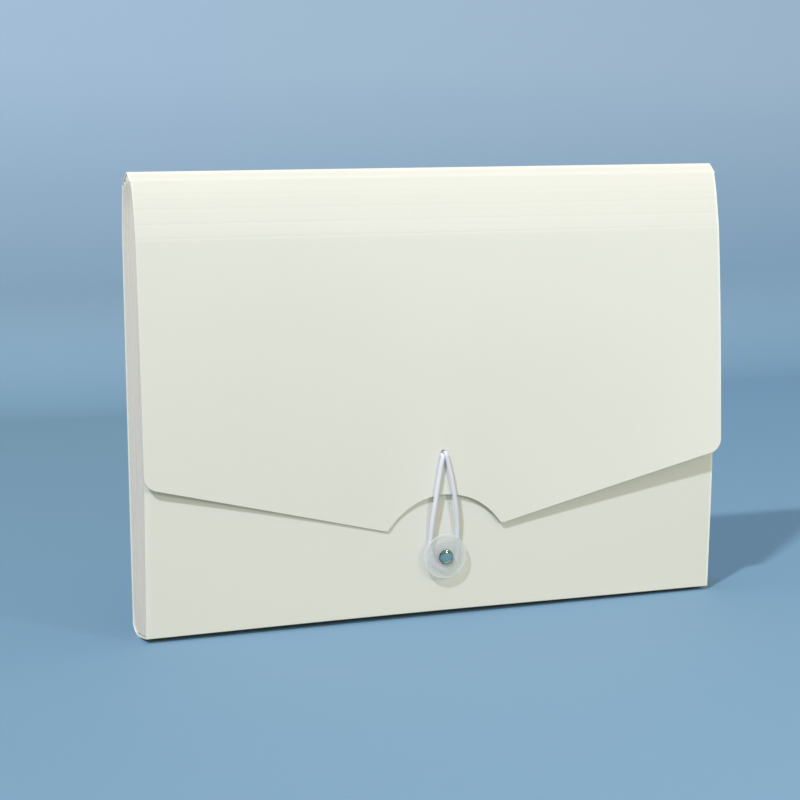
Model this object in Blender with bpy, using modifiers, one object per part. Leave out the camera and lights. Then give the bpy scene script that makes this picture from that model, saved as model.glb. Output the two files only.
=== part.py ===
"""Expanding file folder with a hinged flap, twelve dividers, pleated gussets and a button closed by an elastic loop."""

import math

import bmesh
import bpy
from mathutils import Matrix, Vector

# The folder stands on its base: X runs along its width, the front looks along -Y, and Z is up.
mm = 0.001

# Whole folder
front_width = 330.0 * mm
ridge_height = 243.5 * mm
base_depth = 26.6 * mm
flap_bulge = 10.6 * mm
cover_sheet = 0.8 * mm
back_margin = 1.0 * mm
flap_margin = 1.5 * mm
roof_margin = 2.0 * mm
touch_gap = 0.3 * mm
cut_overrun = 2.0 * mm
weld_distance = 0.001 * mm

half_depth = (base_depth + flap_bulge) / 2
half_sheet = cover_sheet / 2
half_front = front_width / 2
half_back = half_front + back_margin
half_flap = half_front + flap_margin
half_roof = half_front + roof_margin

# Creases, each an axis in the middle of the sheet, with the panels set back from it on both sides
crease_set_back = 0.5 * mm
front_crease_lift = 2.0 * mm
front_crease_y = -half_depth + flap_bulge + half_sheet
back_mid_y = half_depth - half_sheet

# Roof over the pockets, from the ridge back to the rear crease and forward to the flap crease
ridge_offset = 0.4 * mm
rear_roof_width = 16.4 * mm
rear_roof_slope = math.radians(24.5)
score_pitch = 7.6 * mm
front_roof_slope = math.radians(33.5)
score_width = 0.5 * mm
score_depth = 0.25 * mm

# Back cover
back_corner_radius = 4.5 * mm
back_lean_height = 29.0 * mm
back_lean_height_shares = (0.0, 0.25, 0.5, 0.75, 1.0)
back_lean_power_share = 1.6

# Base panel
base_lip_length = 4.0 * mm

# Front cover
front_cover_drop = 15.5 * mm
front_bow = 5.35 * mm
front_bow_shares = (
    (0.0, 0.0),
    (0.785, 0.288),
    (0.935, 0.417),
    (1.0, 0.55),
    (0.985, 0.684),
    (0.91, 0.795),
    (0.78, 0.884),
    (0.60, 0.947),
    (0.28, 1.0),
)

# Flap
flap_strip_slopes = (67.4, 74.9, 78.0, 80.4)
flap_tip_height = 50.0 * mm
flap_corner_height = 83.2 * mm
flap_corner_radius = 8.0 * mm
flap_corner_steps = 8
arch_half_width = 33.0 * mm
arch_rise = 18.3 * mm
arch_steps = 20
flap_pull = 5.5 * mm
flap_pull_power_share = 1.5
flap_fall_shares = ((0.1, 0.28), (0.2, 0.5), (0.3, 0.67), (0.45, 0.84), (0.62, 0.94), (0.8, 1.0), (1.0, 1.0))
flap_columns = 18

# Dividers and their label slips
divider_count = 12
divider_sheet = 0.35 * mm
divider_bottom = 4.2 * mm
divider_top_drop = 18.5 * mm
divider_side_gap = 0.35 * mm
front_pocket_width = 2.4 * mm
tab_height = 8.0 * mm
tab_gap = 1.5 * mm
tab_corner = 2.0 * mm
tab_end_margin = 4.0 * mm
label_sheet = 0.2 * mm
label_border = 1.2 * mm

# Gussets
gusset_sheet = 0.25 * mm
gusset_recess = 0.5 * mm
gusset_depth = 11.5 * mm
gusset_bottom = 5.6 * mm
gusset_top_drop = 17.0 * mm
gusset_rear_rise = 7.5 * mm
fold_inside_limit_share = 0.05
gusset_level_shares = (0.0, 0.14, 0.288, 0.417, 0.55, 0.684, 0.795, 0.884, 0.947, 1.0)
bottom_pleat_height = 2.4 * mm

# Button, riveted to the front cover
button_height = 34.4 * mm
disc_radius = 12.5 * mm
disc_thickness = 1.2 * mm
disc_edge_round = 0.4 * mm
spacer_radius = 4.5 * mm
spacer_thickness = 2.6 * mm
rivet_head_radius = 4.0 * mm
rivet_head_height = 1.1 * mm
rivet_rim_height = 0.45 * mm
rivet_shank_radius = 1.6 * mm
rivet_clearance = 0.3 * mm
rivet_flare_radius = 2.8 * mm
rivet_flare_height = 0.4 * mm
washer_radius = 4.6 * mm
washer_thickness = 0.5 * mm
turned_steps = 32

# Elastic loop and the tag that holds its two ends behind the flap
elastic_diameter = 2.3 * mm
elastic_strand_gap = 0.3 * mm
elastic_hole_height = 90.8 * mm
elastic_hole_side = -1.2 * mm
elastic_hole_clearance = 0.25 * mm
elastic_points_per_span = 4
tag_length = 10.0 * mm
tag_height = 3.0 * mm
tag_thickness = 0.45 * mm

# Heights that follow the ridge, and the dividers' width between the gussets
divider_top = ridge_height - divider_top_drop
gusset_top = ridge_height - gusset_top_drop
arch_top = flap_tip_height + arch_rise
half_divider = half_front - gusset_recess - gusset_depth - divider_side_gap


def clear_scene():
    """Remove whatever the scene holds."""
    for obj in list(bpy.data.objects):
        bpy.data.objects.remove(obj, do_unlink=True)


def make_collection(name):
    collection = bpy.data.collections.new(name)
    bpy.context.scene.collection.children.link(collection)
    return collection


def make_material(name, colour, roughness, metallic=0.0, alpha=1.0):
    material = bpy.data.materials.new(name)
    material.use_nodes = True
    shader = material.node_tree.nodes["Principled BSDF"]
    shader.inputs["Base Color"].default_value = (*colour, 1.0)
    shader.inputs["Roughness"].default_value = roughness
    shader.inputs["Metallic"].default_value = metallic
    shader.inputs["Alpha"].default_value = alpha
    return material


clear_scene()
parts = make_collection("expanding_file_folder")
cutters = make_collection("cutters")

cover_material = make_material("cream_cover", (0.80, 0.80, 0.71), 0.42)
divider_material = make_material("frosted_divider", (0.82, 0.84, 0.84), 0.38, alpha=0.9)
gusset_material = make_material("frosted_gusset", (0.60, 0.60, 0.58), 0.40)
label_material = make_material("label_paper", (0.86, 0.86, 0.84), 0.80)
disc_material = make_material("clear_disc", (0.78, 0.83, 0.83), 0.22, alpha=0.6)
rivet_material = make_material("nickel_rivet", (0.66, 0.68, 0.70), 0.16, 1.0)
elastic_material = make_material("white_elastic", (0.80, 0.81, 0.90), 0.70)
tag_material = make_material("white_tag", (0.85, 0.86, 0.90), 0.35)


def keep(obj, material, pivot=None):
    """Put a finished piece in the folder's collection, with its origin on its joint's axis."""
    for collection in list(obj.users_collection):
        collection.objects.unlink(obj)
    parts.objects.link(obj)
    obj.data.materials.clear()
    obj.data.materials.append(material)
    if pivot is not None:
        obj.data.transform(Matrix.Translation(-pivot))
        obj.location = pivot
    return obj


def object_from(bm, name):
    mesh = bpy.data.meshes.new(name)
    bm.to_mesh(mesh)
    bm.free()
    obj = bpy.data.objects.new(name, mesh)
    bpy.context.scene.collection.objects.link(obj)
    return obj


def along(points, share):
    """The second value of a table of shares at this first value, on straight lines between the rows."""
    for (low, start), (high, end) in zip(points[:-1], points[1:]):
        if share <= high:
            return start + (end - start) * (share - low) / (high - low)
    return points[-1][1]


def point_on(start, end, distance):
    """The point at this distance from start towards end, in the YZ plane."""
    step = Vector(end) - Vector(start)
    return Vector(start) + step.normalized() * distance


def bent_sheet(name, profile, half_width, thickness, material, pivot=None):
    """A sheet that is straight along X and follows a profile of (y, z) points in its middle plane."""
    bm = bmesh.new()
    row = [bm.verts.new((-half_width, y, z)) for y, z in profile]
    edges = [bm.edges.new(pair) for pair in zip(row[:-1], row[1:])]
    swept = bmesh.ops.extrude_edge_only(bm, edges=edges)
    moved = [item for item in swept["geom"] if isinstance(item, bmesh.types.BMVert)]
    bmesh.ops.translate(bm, verts=moved, vec=(2 * half_width, 0, 0))
    obj = object_from(bm, name)
    shell = obj.modifiers.new("sheet", "SOLIDIFY")
    shell.thickness = thickness
    shell.offset = 0.0
    shell.use_even_offset = True
    return keep(obj, material, pivot)


# Crease axes in the YZ plane, from the back cover over the roof to the flap
ridge = Vector((-ridge_offset, ridge_height - half_sheet))
rear_crease = ridge + rear_roof_width * Vector((math.cos(rear_roof_slope), -math.sin(rear_roof_slope)))
flap_crease = ridge + score_pitch * Vector((-math.cos(front_roof_slope), -math.sin(front_roof_slope)))
front_crease = Vector((front_crease_y, front_crease_lift))


def axis_point(crease):
    """A crease's axis as a point in space, on the folder's middle."""
    return Vector((0.0, crease[0], crease[1]))


def flap_profile():
    """The flap's middle plane at its side edges, as (y, z) points from the flap crease down to its lowest tips."""
    points = [flap_crease]
    for slope in flap_strip_slopes:
        turn = math.radians(slope)
        points.append(points[-1] + score_pitch * Vector((-math.cos(turn), -math.sin(turn))))
    knee = points[-1]
    foot_y = -half_depth + half_sheet
    for drop_share, fall_share in flap_fall_shares:
        points.append(
            Vector(
                (
                    knee[0] + (foot_y - knee[0]) * fall_share,
                    knee[1] + (flap_tip_height - knee[1]) * drop_share,
                )
            )
        )
    return points


def flap_depth(x, z):
    """Where the flap's middle plane stands at this place: its own bend, and the pull of the elastic at its centre."""
    profile = flap_profile()
    edge_y = profile[0][0]
    for upper, lower in zip(profile[:-1], profile[1:]):
        if z <= upper[1]:
            fall = min(max((upper[1] - z) / (upper[1] - lower[1]), 0.0), 1.0)
            edge_y = upper[0] + (lower[0] - upper[0]) * fall
    knee_z = profile[len(flap_strip_slopes)][1]
    down = min(max((knee_z - z) / (knee_z - flap_tip_height), 0.0), 1.0)
    across = max(1.0 - (x / half_flap) ** 2, 0.0)
    return edge_y + flap_pull * across * down**flap_pull_power_share


def front_cover_profile():
    """The front cover's middle plane, as (y, z) points from its crease up to its free edge."""
    height = ridge_height - front_cover_drop - front_crease_lift
    points = [
        Vector((front_crease_y - front_bow * bow_share, front_crease_lift + height * height_share))
        for bow_share, height_share in front_bow_shares
    ]
    points[0] = point_on(points[0], points[1], crease_set_back)
    return points


def front_cover_y(z):
    """The y of the front cover's middle plane at this height."""
    profile = [(point[1], point[0]) for point in front_cover_profile()]
    return along(profile, max(z, profile[0][0]))


def make_covers():
    """The back cover, the base and the front cover: three panels of the one cover sheet."""
    turn_radius = back_corner_radius - half_sheet
    corner = [
        Vector(
            (
                back_mid_y - turn_radius + turn_radius * math.sin(math.radians(turn)),
                half_sheet + turn_radius - turn_radius * math.cos(math.radians(turn)),
            )
        )
        for turn in range(0, 91, 15)
    ]
    heights = [rear_crease[1] - back_lean_height * (1.0 - share) for share in back_lean_height_shares]
    upper = [Vector((back_mid_y - back_lean(height), height)) for height in heights]
    upper[-1] = point_on(upper[-1], upper[-2], crease_set_back)
    bent_sheet("back_cover", corner + upper, half_back, cover_sheet, cover_material)

    lip = Vector((front_crease_y + base_lip_length, half_sheet))
    base = [
        point_on(front_crease, lip, crease_set_back + half_sheet),
        lip,
        Vector((corner[0][0] - touch_gap, half_sheet)),
    ]
    bent_sheet("base_panel", base, half_front, cover_sheet, cover_material)

    front = bent_sheet(
        "front_cover", front_cover_profile(), half_front, cover_sheet, cover_material, axis_point(front_crease)
    )
    drill = turned_cutter("rivet_hole_cutter", rivet_shank_radius + rivet_clearance)
    cut(front, drill)


def make_roof():
    """The two roof panels between the rear crease, the ridge and the flap crease."""
    rear = [
        point_on(rear_crease, ridge, crease_set_back),
        (rear_crease + ridge) / 2,
        point_on(ridge, rear_crease, crease_set_back),
    ]
    roof = bent_sheet("rear_roof_panel", rear, half_roof, cover_sheet, cover_material, axis_point(rear_crease))
    groove = box_cutter("roof_score_cutter", (half_roof + cut_overrun, score_width / 2, score_depth))
    groove.rotation_euler = (-rear_roof_slope, 0.0, 0.0)
    normal = Vector((math.sin(rear_roof_slope), math.cos(rear_roof_slope)))
    groove.location = axis_point((rear_crease + ridge) / 2 + normal * half_sheet)
    cut(roof, groove)

    front = [point_on(ridge, flap_crease, crease_set_back), point_on(flap_crease, ridge, crease_set_back)]
    bent_sheet("front_roof_panel", front, half_roof, cover_sheet, cover_material, axis_point(ridge))


def as_cutter(obj):
    for collection in list(obj.users_collection):
        collection.objects.unlink(obj)
    cutters.objects.link(obj)
    obj.hide_render = True
    obj.display_type = "WIRE"
    return obj


def box_cutter(name, half_size):
    bm = bmesh.new()
    bmesh.ops.create_cube(bm, size=2.0)
    bmesh.ops.scale(bm, verts=bm.verts, vec=half_size)
    return as_cutter(object_from(bm, name))


def turned_cutter(name, radius):
    """A drill along the button's axis."""
    bm = bmesh.new()
    bmesh.ops.create_cone(
        bm, cap_ends=True, segments=turned_steps, radius1=radius, radius2=radius, depth=2 * disc_radius
    )
    obj = as_cutter(object_from(bm, name))
    obj.matrix_world = button_frame()
    return obj


def cut(obj, cutter):
    removal = obj.modifiers.new(cutter.name, "BOOLEAN")
    removal.operation = "DIFFERENCE"
    removal.solver = "EXACT"
    removal.object = cutter
    return removal


def flap_edge_outline():
    """The flap's lower edge in the XZ plane, from its right side to its left side."""
    slope = Vector((half_flap - arch_half_width, flap_corner_height - flap_tip_height)).normalized()
    corner = Vector((half_flap, flap_corner_height))
    tip = Vector((arch_half_width, flap_tip_height))
    half_angle = (math.pi - math.atan2(slope.x, slope.y)) / 2
    tangent = flap_corner_radius / math.tan(half_angle)
    centre = corner + Vector((-flap_corner_radius, tangent))
    start = -math.atan2(slope.x, slope.y)
    right = []
    for step in range(flap_corner_steps + 1):
        turn = start * step / flap_corner_steps
        right.append(centre + flap_corner_radius * Vector((math.cos(turn), math.sin(turn))))
    right.append(tip)
    arch_radius = (arch_half_width**2 + arch_rise**2) / (2 * arch_rise)
    arch_centre = Vector((0.0, arch_top - arch_radius))
    reach = math.asin(arch_half_width / arch_radius)
    arch = []
    for step in range(1, arch_steps):
        turn = reach * (1.0 - 2.0 * step / arch_steps)
        arch.append(arch_centre + arch_radius * Vector((math.sin(turn), math.cos(turn))))
    left = [Vector((-point.x, point.y)) for point in reversed(right)]
    return right + arch + left


def plate_from_outline(name, outline, half_thickness):
    """A flat plate in the XZ plane, with its middle at y = 0, from an outline of (x, z) points."""
    curve = bpy.data.curves.new(name, "CURVE")
    curve.dimensions = "2D"
    curve.fill_mode = "BOTH"
    curve.extrude = half_thickness
    spline = curve.splines.new("POLY")
    spline.points.add(len(outline) - 1)
    for point, place in zip(spline.points, outline):
        point.co = (place[0], place[1], 0.0, 1.0)
    spline.use_cyclic_u = True
    obj = bpy.data.objects.new(name, curve)
    obj.rotation_euler = (math.pi / 2, 0.0, 0.0)
    bpy.context.scene.collection.objects.link(obj)
    return obj


def made_mesh(obj, name):
    """The evaluated object as a closed mesh of its own, in the folder's frame."""
    bpy.context.view_layer.update()
    evaluated = obj.evaluated_get(bpy.context.evaluated_depsgraph_get())
    mesh = bpy.data.meshes.new_from_object(evaluated)
    mesh.transform(obj.matrix_world)
    bm = bmesh.new()
    bm.from_mesh(mesh)
    bmesh.ops.remove_doubles(bm, verts=bm.verts, dist=weld_distance)
    bm.to_mesh(mesh)
    bm.free()
    bpy.data.objects.remove(obj, do_unlink=True)
    made = bpy.data.objects.new(name, mesh)
    bpy.context.scene.collection.objects.link(made)
    return made


def bend(plate, heights, columns, divider=None):
    """Divide a flat plate at these heights and columns, and bend it to the flap's depth or to a divider's."""
    bm = bmesh.new()
    bm.from_mesh(plate.data)
    cuts = [(Vector((0, 0, height)), Vector((0, 0, 1))) for height in heights]
    cuts += [(Vector((column, 0, 0)), Vector((1, 0, 0))) for column in columns]
    for place, normal in cuts:
        pieces = bm.verts[:] + bm.edges[:] + bm.faces[:]
        bmesh.ops.bisect_plane(bm, geom=pieces, plane_co=place, plane_no=normal, dist=weld_distance)
    bmesh.ops.triangulate(bm, faces=bm.faces)
    for vert in bm.verts:
        vert.co.y += divider_y(divider, vert.co.z) if divider else flap_depth(vert.co.x, vert.co.z)
    bm.to_mesh(plate.data)
    bm.free()


def make_flap():
    """The flap: cut flat from its outline, scored, punched, divided into a grid and bent to its depth."""
    top = flap_crease[1] - crease_set_back
    outline = flap_edge_outline() + [Vector((-half_flap, top)), Vector((half_flap, top))]
    flat = made_mesh(plate_from_outline("flap_blank", outline, half_sheet), "flap_blank")

    hole_radius = elastic_diameter + elastic_strand_gap / 2 + elastic_hole_clearance
    bm = bmesh.new()
    bmesh.ops.create_cone(
        bm, cap_ends=True, segments=turned_steps, radius1=hole_radius, radius2=hole_radius, depth=4 * cover_sheet
    )
    punch = as_cutter(object_from(bm, "elastic_hole_cutter"))
    punch.rotation_euler = (math.pi / 2, 0.0, 0.0)
    punch.location = (elastic_hole_side, 0.0, elastic_hole_height)
    cut(flat, punch)
    creases = flap_profile()[1 : len(flap_strip_slopes) + 1]
    for number, crease in enumerate(creases, 1):
        groove = box_cutter(
            f"flap_score_cutter_{number}", (half_flap + cut_overrun, score_depth, score_width / 2)
        )
        groove.location = (0.0, -half_sheet, crease[1])
        cut(flat, groove)
    flap = made_mesh(flat, "flap")
    heights = [point[1] for point in flap_profile()[1:-1]]
    columns = [half_flap * (2.0 * step / flap_columns - 1.0) for step in range(1, flap_columns)]
    bend(flap, heights, columns)
    return keep(flap, cover_material, axis_point(flap_crease))


def divider_y(number, z=0.0):
    """A divider's place: equal pockets from the back cover, which presses the rear ones forward at their top."""
    back_inner = back_mid_y - half_sheet
    front_inner = front_crease_y + half_sheet
    pitch = (back_inner - front_inner - front_pocket_width) / divider_count
    return back_inner - pitch * number - back_lean(z) * (1.0 - number / divider_count)


def tab_span(number):
    """A tab's left and right ends: the tabs step across the divider from the front cover to the back."""
    reach = half_divider - tab_end_margin
    width = 2 * reach / divider_count
    left = -reach + width * (divider_count - number)
    return left + tab_gap / 2, left + width - tab_gap / 2


def make_dividers():
    """Twelve dividers, each with its index tab and the paper slip on it."""
    for number in range(1, divider_count + 1):
        left, right = tab_span(number)
        top = divider_top + tab_height
        outline = [
            (-half_divider, divider_bottom),
            (half_divider, divider_bottom),
            (half_divider, divider_top),
            (right, divider_top),
            (right, top - tab_corner),
            (right - tab_corner, top),
            (left + tab_corner, top),
            (left, top - tab_corner),
            (left, divider_top),
            (-half_divider, divider_top),
        ]
        pivot = Vector((0.0, divider_y(number), divider_bottom))
        name = f"divider_{number:02d}"
        blank = made_mesh(plate_from_outline(name, outline, divider_sheet / 2), name)
        heights = [rear_crease[1] - back_lean_height * (1.0 - share) for share in back_lean_height_shares]
        bend(blank, [height for height in heights if height < divider_top], [], number)
        keep(blank, divider_material, pivot)

        bm = bmesh.new()
        bmesh.ops.create_cube(bm, size=1.0)
        size = (right - left - 2 * (tab_corner + label_border), label_sheet, tab_height - 2 * label_border)
        bmesh.ops.scale(bm, verts=bm.verts, vec=size)
        front_of_tab = -divider_sheet / 2 - touch_gap - label_sheet / 2
        middle = Vector(((left + right) / 2, front_of_tab, divider_top + tab_height / 2))
        bmesh.ops.translate(bm, verts=bm.verts, vec=middle)
        label = object_from(bm, f"tab_label_{number:02d}")
        bend(label, [], [], number)
        keep(label, label_material, pivot)


def thick_zigzag(path, thickness):
    """The outline of a folded sheet: blunt on the outside of each fold, and meeting in a point on its inside."""
    half = thickness / 2
    sides = ([], [])
    for index, point in enumerate(path):
        before = (point - path[index - 1]).normalized() if index else None
        after = (path[index + 1] - point).normalized() if index + 1 < len(path) else None
        for side, sign in ((sides[0], 1.0), (sides[1], -1.0)):
            normals = [sign * Vector((-way.y, way.x)) for way in (before, after) if way]
            if len(normals) == 1:
                side.append(point + half * normals[0])
                continue
            bisector = (normals[0] + normals[1]).normalized()
            turns_towards = (after - before).dot(normals[0]) > 0
            if turns_towards:
                side.append(point + bisector * half / max(bisector.dot(normals[0]), fold_inside_limit_share))
            else:
                side.append(point + half * normals[0])
                side.append(point + half * normals[1])
    return sides[0] + sides[1][::-1]


def gusset_path(z):
    """The side gusset's folds at this height, as (distance in from its outer folds, y), from the back to the front."""
    back = back_mid_y - back_lean(z) - half_sheet - touch_gap - gusset_sheet / 2
    front = front_cover_y(z) + half_sheet + touch_gap + gusset_sheet / 2
    places = [divider_y(number, z) for number in range(1, divider_count + 1)]
    pitch = places[0] - places[1]
    path = [Vector((gusset_depth, back)), Vector((0.0, back))]
    for place in places:
        path += [Vector((gusset_depth, place)), Vector((0.0, place - pitch / 2))]
    path[-1].y = front
    return path + [Vector((gusset_depth, front))]


def floor_height(y):
    """The height of the base's inner face here, with its round corner at the back and its lip at the front."""
    inner_radius = back_corner_radius - cover_sheet
    into_corner = max(y - (half_depth - back_corner_radius), 0.0)
    into_lip = max(front_crease_y + base_lip_length - y, 0.0)
    lip_rise = into_lip * (front_crease_lift - half_sheet) / base_lip_length
    return back_corner_radius - math.sqrt(max(inner_radius**2 - into_corner**2, 0.0)) + lip_rise


def back_lean(z):
    """How far the back cover leans forward at this height."""
    share = 1.0 - (rear_crease[1] - z) / back_lean_height
    return (back_mid_y - rear_crease[0]) * max(share, 0.0) ** back_lean_power_share


def gusset_row(level, is_top):
    """The side gusset's section at this level, as (distance in, y, z): its top row climbs towards the back cover."""
    low = gusset_path(level)
    high = gusset_path(level + gusset_rear_rise)
    rear_y, front_y = low[0].y, low[-1].y
    rise_shares = [(point.y - front_y) / (rear_y - front_y) if is_top else 0.0 for point in low]
    path = [point.lerp(leant, share) for point, leant, share in zip(low, high, rise_shares)]
    path[-2].y = path[-1].y = front_y
    rear_y = path[0].y
    row = []
    for point in thick_zigzag(path, gusset_sheet):
        share = (point.y - front_y) / (rear_y - front_y) if is_top else 0.0
        row.append((point.x, point.y, level + gusset_rear_rise * share))
    return row


def make_side_gussets():
    """The pleated side gussets, which follow the front cover's bow and the back cover's lean."""
    height = ridge_height - front_cover_drop - front_crease_lift
    levels = [front_crease_lift + height * share for share in gusset_level_shares]
    levels = [min(max(level, gusset_bottom), gusset_top) for level in levels]
    outer = half_front - gusset_recess
    for name, side in (("left_gusset", -1.0), ("right_gusset", 1.0)):
        bm = bmesh.new()
        rows = []
        for level in levels:
            section = gusset_row(level, level == levels[-1])
            rows.append([bm.verts.new((side * (outer - inward), y, z)) for inward, y, z in section])
        count = len(rows[0])
        for lower, upper in zip(rows[:-1], rows[1:]):
            for index in range(count):
                after = (index + 1) % count
                bm.faces.new((lower[index], lower[after], upper[after], upper[index]))
        bm.faces.new(rows[0])
        bm.faces.new(rows[-1])
        bmesh.ops.triangulate(bm, faces=bm.faces)
        bmesh.ops.recalc_face_normals(bm, faces=bm.faces)
        keep(object_from(bm, name), gusset_material)


def make_bottom_gusset():
    """The pleats that carry the dividers over the base."""
    top = divider_bottom - touch_gap - gusset_sheet / 2
    bottom = top - bottom_pleat_height
    places = [divider_y(number) for number in range(1, divider_count + 1)]
    half_pitch = (places[0] - places[1]) / 2
    path = []
    for place in places:
        path += [Vector((place + half_pitch, bottom)), Vector((place, top))]
    path.append(Vector((places[-1] - half_pitch, bottom)))
    for point in path[::2]:
        point.y = max(point.y, floor_height(point.x) + touch_gap + gusset_sheet)
    bm = bmesh.new()
    outline = thick_zigzag(path, gusset_sheet)
    face = bm.faces.new([bm.verts.new((-half_divider, point.x, point.y)) for point in outline])
    swept = bmesh.ops.extrude_face_region(bm, geom=[face])
    moved = [item for item in swept["geom"] if isinstance(item, bmesh.types.BMVert)]
    bmesh.ops.translate(bm, verts=moved, vec=(2 * half_divider, 0, 0))
    bmesh.ops.recalc_face_normals(bm, faces=bm.faces)
    keep(object_from(bm, "bottom_gusset"), gusset_material)


def button_frame():
    """The button's frame: its origin on the front cover's outer face, and its Z axis out of the cover."""
    lower, upper = front_cover_profile()[:2]
    rise = (upper - lower).normalized()
    outward = Vector((0.0, -rise.y, rise.x))
    face = Vector((0.0, front_cover_y(button_height), button_height)) + outward * half_sheet
    tilt = math.atan2(-outward.y, outward.z)
    return Matrix.Translation(face) @ Matrix.Rotation(tilt, 4, "X")


def turned(name, profile, material, axis, closed):
    """A turned piece about the button's axis, from (radius, height) points that run down its outer side."""
    bm = bmesh.new()
    row = [bm.verts.new((radius, 0.0, height)) for radius, height in profile]
    for pair in zip(row[:-1], row[1:]):
        bm.edges.new(pair)
    if closed:
        bm.edges.new((row[-1], row[0]))
    obj = keep(object_from(bm, name), material)
    screw = obj.modifiers.new("turn", "SCREW")
    screw.axis = "Z"
    screw.steps = turned_steps
    screw.render_steps = turned_steps
    screw.use_merge_vertices = True
    screw.merge_threshold = weld_distance
    screw.use_smooth_shade = True
    obj.parent = axis
    return obj


def ring(inner, outer, low, high, edge_round=0.0):
    """A ring's section, with its outer corners taken off by edge_round."""
    return [
        (inner, high),
        (outer - edge_round, high),
        (outer, high - edge_round),
        (outer, low + edge_round),
        (outer - edge_round, low),
        (inner, low),
    ]


def make_button():
    """The disc that the elastic hooks behind, on its spacer and rivet."""
    axis = bpy.data.objects.new("button_axis", None)
    parts.objects.link(axis)
    axis.matrix_world = button_frame()
    bore = rivet_shank_radius + rivet_clearance
    spacer_top = touch_gap + spacer_thickness
    disc_bottom = spacer_top + touch_gap
    disc_top = disc_bottom + disc_thickness
    turned("button_disc", ring(bore, disc_radius, disc_bottom, disc_top, disc_edge_round), disc_material, axis, True)
    spacer = [
        (bore, spacer_top),
        (spacer_radius, spacer_top),
        (spacer_radius, touch_gap),
        (bore, touch_gap),
    ]
    turned("button_spacer", spacer, disc_material, axis, True)
    washer_top = -cover_sheet - touch_gap
    washer_bottom = washer_top - washer_thickness
    washer = [
        (bore, washer_top),
        (washer_radius, washer_top),
        (washer_radius, washer_bottom),
        (bore, washer_bottom),
    ]
    turned("rivet_washer", washer, rivet_material, axis, True)
    head_bottom = disc_top + touch_gap
    flare_top = washer_bottom - touch_gap
    rivet = [
        (0.0, head_bottom + rivet_head_height),
        (rivet_head_radius / 2, head_bottom + rivet_head_height),
        (rivet_head_radius, head_bottom + rivet_rim_height),
        (rivet_head_radius, head_bottom),
        (rivet_shank_radius, head_bottom),
        (rivet_shank_radius, flare_top),
        (rivet_flare_radius, flare_top),
        (rivet_flare_radius, flare_top - rivet_flare_height),
        (0.0, flare_top - rivet_flare_height),
    ]
    turned("rivet", rivet, rivet_material, axis, False)


# The loop's route round the button, as (x, z) from the button's middle: down its left strand and up its right
loop_route = (
    (-8.0 * mm, 8.5 * mm),
    (-7.8 * mm, 3.4 * mm),
    (-6.7 * mm, -1.4 * mm),
    (-4.6 * mm, -5.2 * mm),
    (-1.5 * mm, -7.2 * mm),
    (2.1 * mm, -7.2 * mm),
    (5.3 * mm, -5.2 * mm),
    (7.3 * mm, -1.6 * mm),
    (7.9 * mm, 3.2 * mm),
    (7.7 * mm, 9.5 * mm),
)
strand_on_flap_shares = (0.0, 0.27, 0.76)
strand_below_arch_shares = (0.28, 0.7)
strand_drop_power_share = 1.3
strand_spread_power_share = 1.5


def smooth_route(points):
    """A curve through the route's own points, with a few steps between each two."""
    route = []
    for index in range(len(points) - 1):
        before = points[max(index - 1, 0)]
        start, end = points[index], points[index + 1]
        after = points[min(index + 2, len(points) - 1)]
        for step in range(elastic_points_per_span):
            t = step / elastic_points_per_span
            route.append(
                0.5
                * (
                    2 * start
                    + (end - before) * t
                    + (2 * before - 5 * start + 4 * end - after) * t**2
                    + (3 * start - before - 3 * end + after) * t**3
                )
            )
    return route + [points[-1]]


def make_elastic():
    """The elastic loop from the tag, through the flap's hole, down and round behind the disc, and back."""
    frame = button_frame()
    radius = elastic_diameter / 2
    strand = radius + elastic_strand_gap / 2
    behind_disc = touch_gap + (spacer_thickness + touch_gap) / 2
    around = []
    for x, z in loop_route:
        along_cover = z / frame.to_3x3().col[1].z
        around.append(frame @ Vector((x, along_cover, behind_disc)))

    hole_y = flap_depth(elastic_hole_side, elastic_hole_height)
    over_flap = half_sheet + radius + touch_gap
    sides = {}
    for side, end in ((-1.0, around[0]), (1.0, around[-1])):
        hole_x = elastic_hole_side + side * strand
        points = [
            Vector((hole_x, hole_y + half_sheet, elastic_hole_height)),
            Vector((hole_x, hole_y, elastic_hole_height)),
            Vector((hole_x, hole_y - half_sheet, elastic_hole_height)),
        ]
        top = elastic_hole_height - radius
        heights = [top + (arch_top - top) * share for share in strand_on_flap_shares]
        heights += [arch_top + (end.z - arch_top) * share for share in strand_below_arch_shares]
        for z in heights:
            spread = 1.0 - ((z - end.z) / (top - end.z)) ** strand_spread_power_share
            x = hole_x + (end.x - hole_x) * spread
            flap_y = flap_depth(x, max(z, arch_top)) - over_flap
            free = max((arch_top - z) / (arch_top - end.z), 0.0)
            y = flap_y + (end.y - flap_y) * free**strand_drop_power_share
            points.append(Vector((x, y, z)))
        sides[side] = points
    route = sides[-1.0] + around + sides[1.0][::-1]

    curve = bpy.data.curves.new("elastic_loop", "CURVE")
    curve.dimensions = "3D"
    curve.bevel_depth = radius
    curve.bevel_resolution = 2
    curve.use_fill_caps = True
    places = smooth_route(route)
    spline = curve.splines.new("POLY")
    spline.points.add(len(places) - 1)
    for point, place in zip(spline.points, places):
        point.co = (*place, 1.0)
    obj = bpy.data.objects.new("elastic_loop", curve)
    bpy.context.scene.collection.objects.link(obj)
    loop = made_mesh(obj, "elastic_loop")
    length = sum((end - start).length for start, end in zip(places[:-1], places[1:]))
    print(f"elastic loop length {length / mm:.0f} mm from end to end")
    keep(loop, elastic_material, axis_point(flap_crease))


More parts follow.
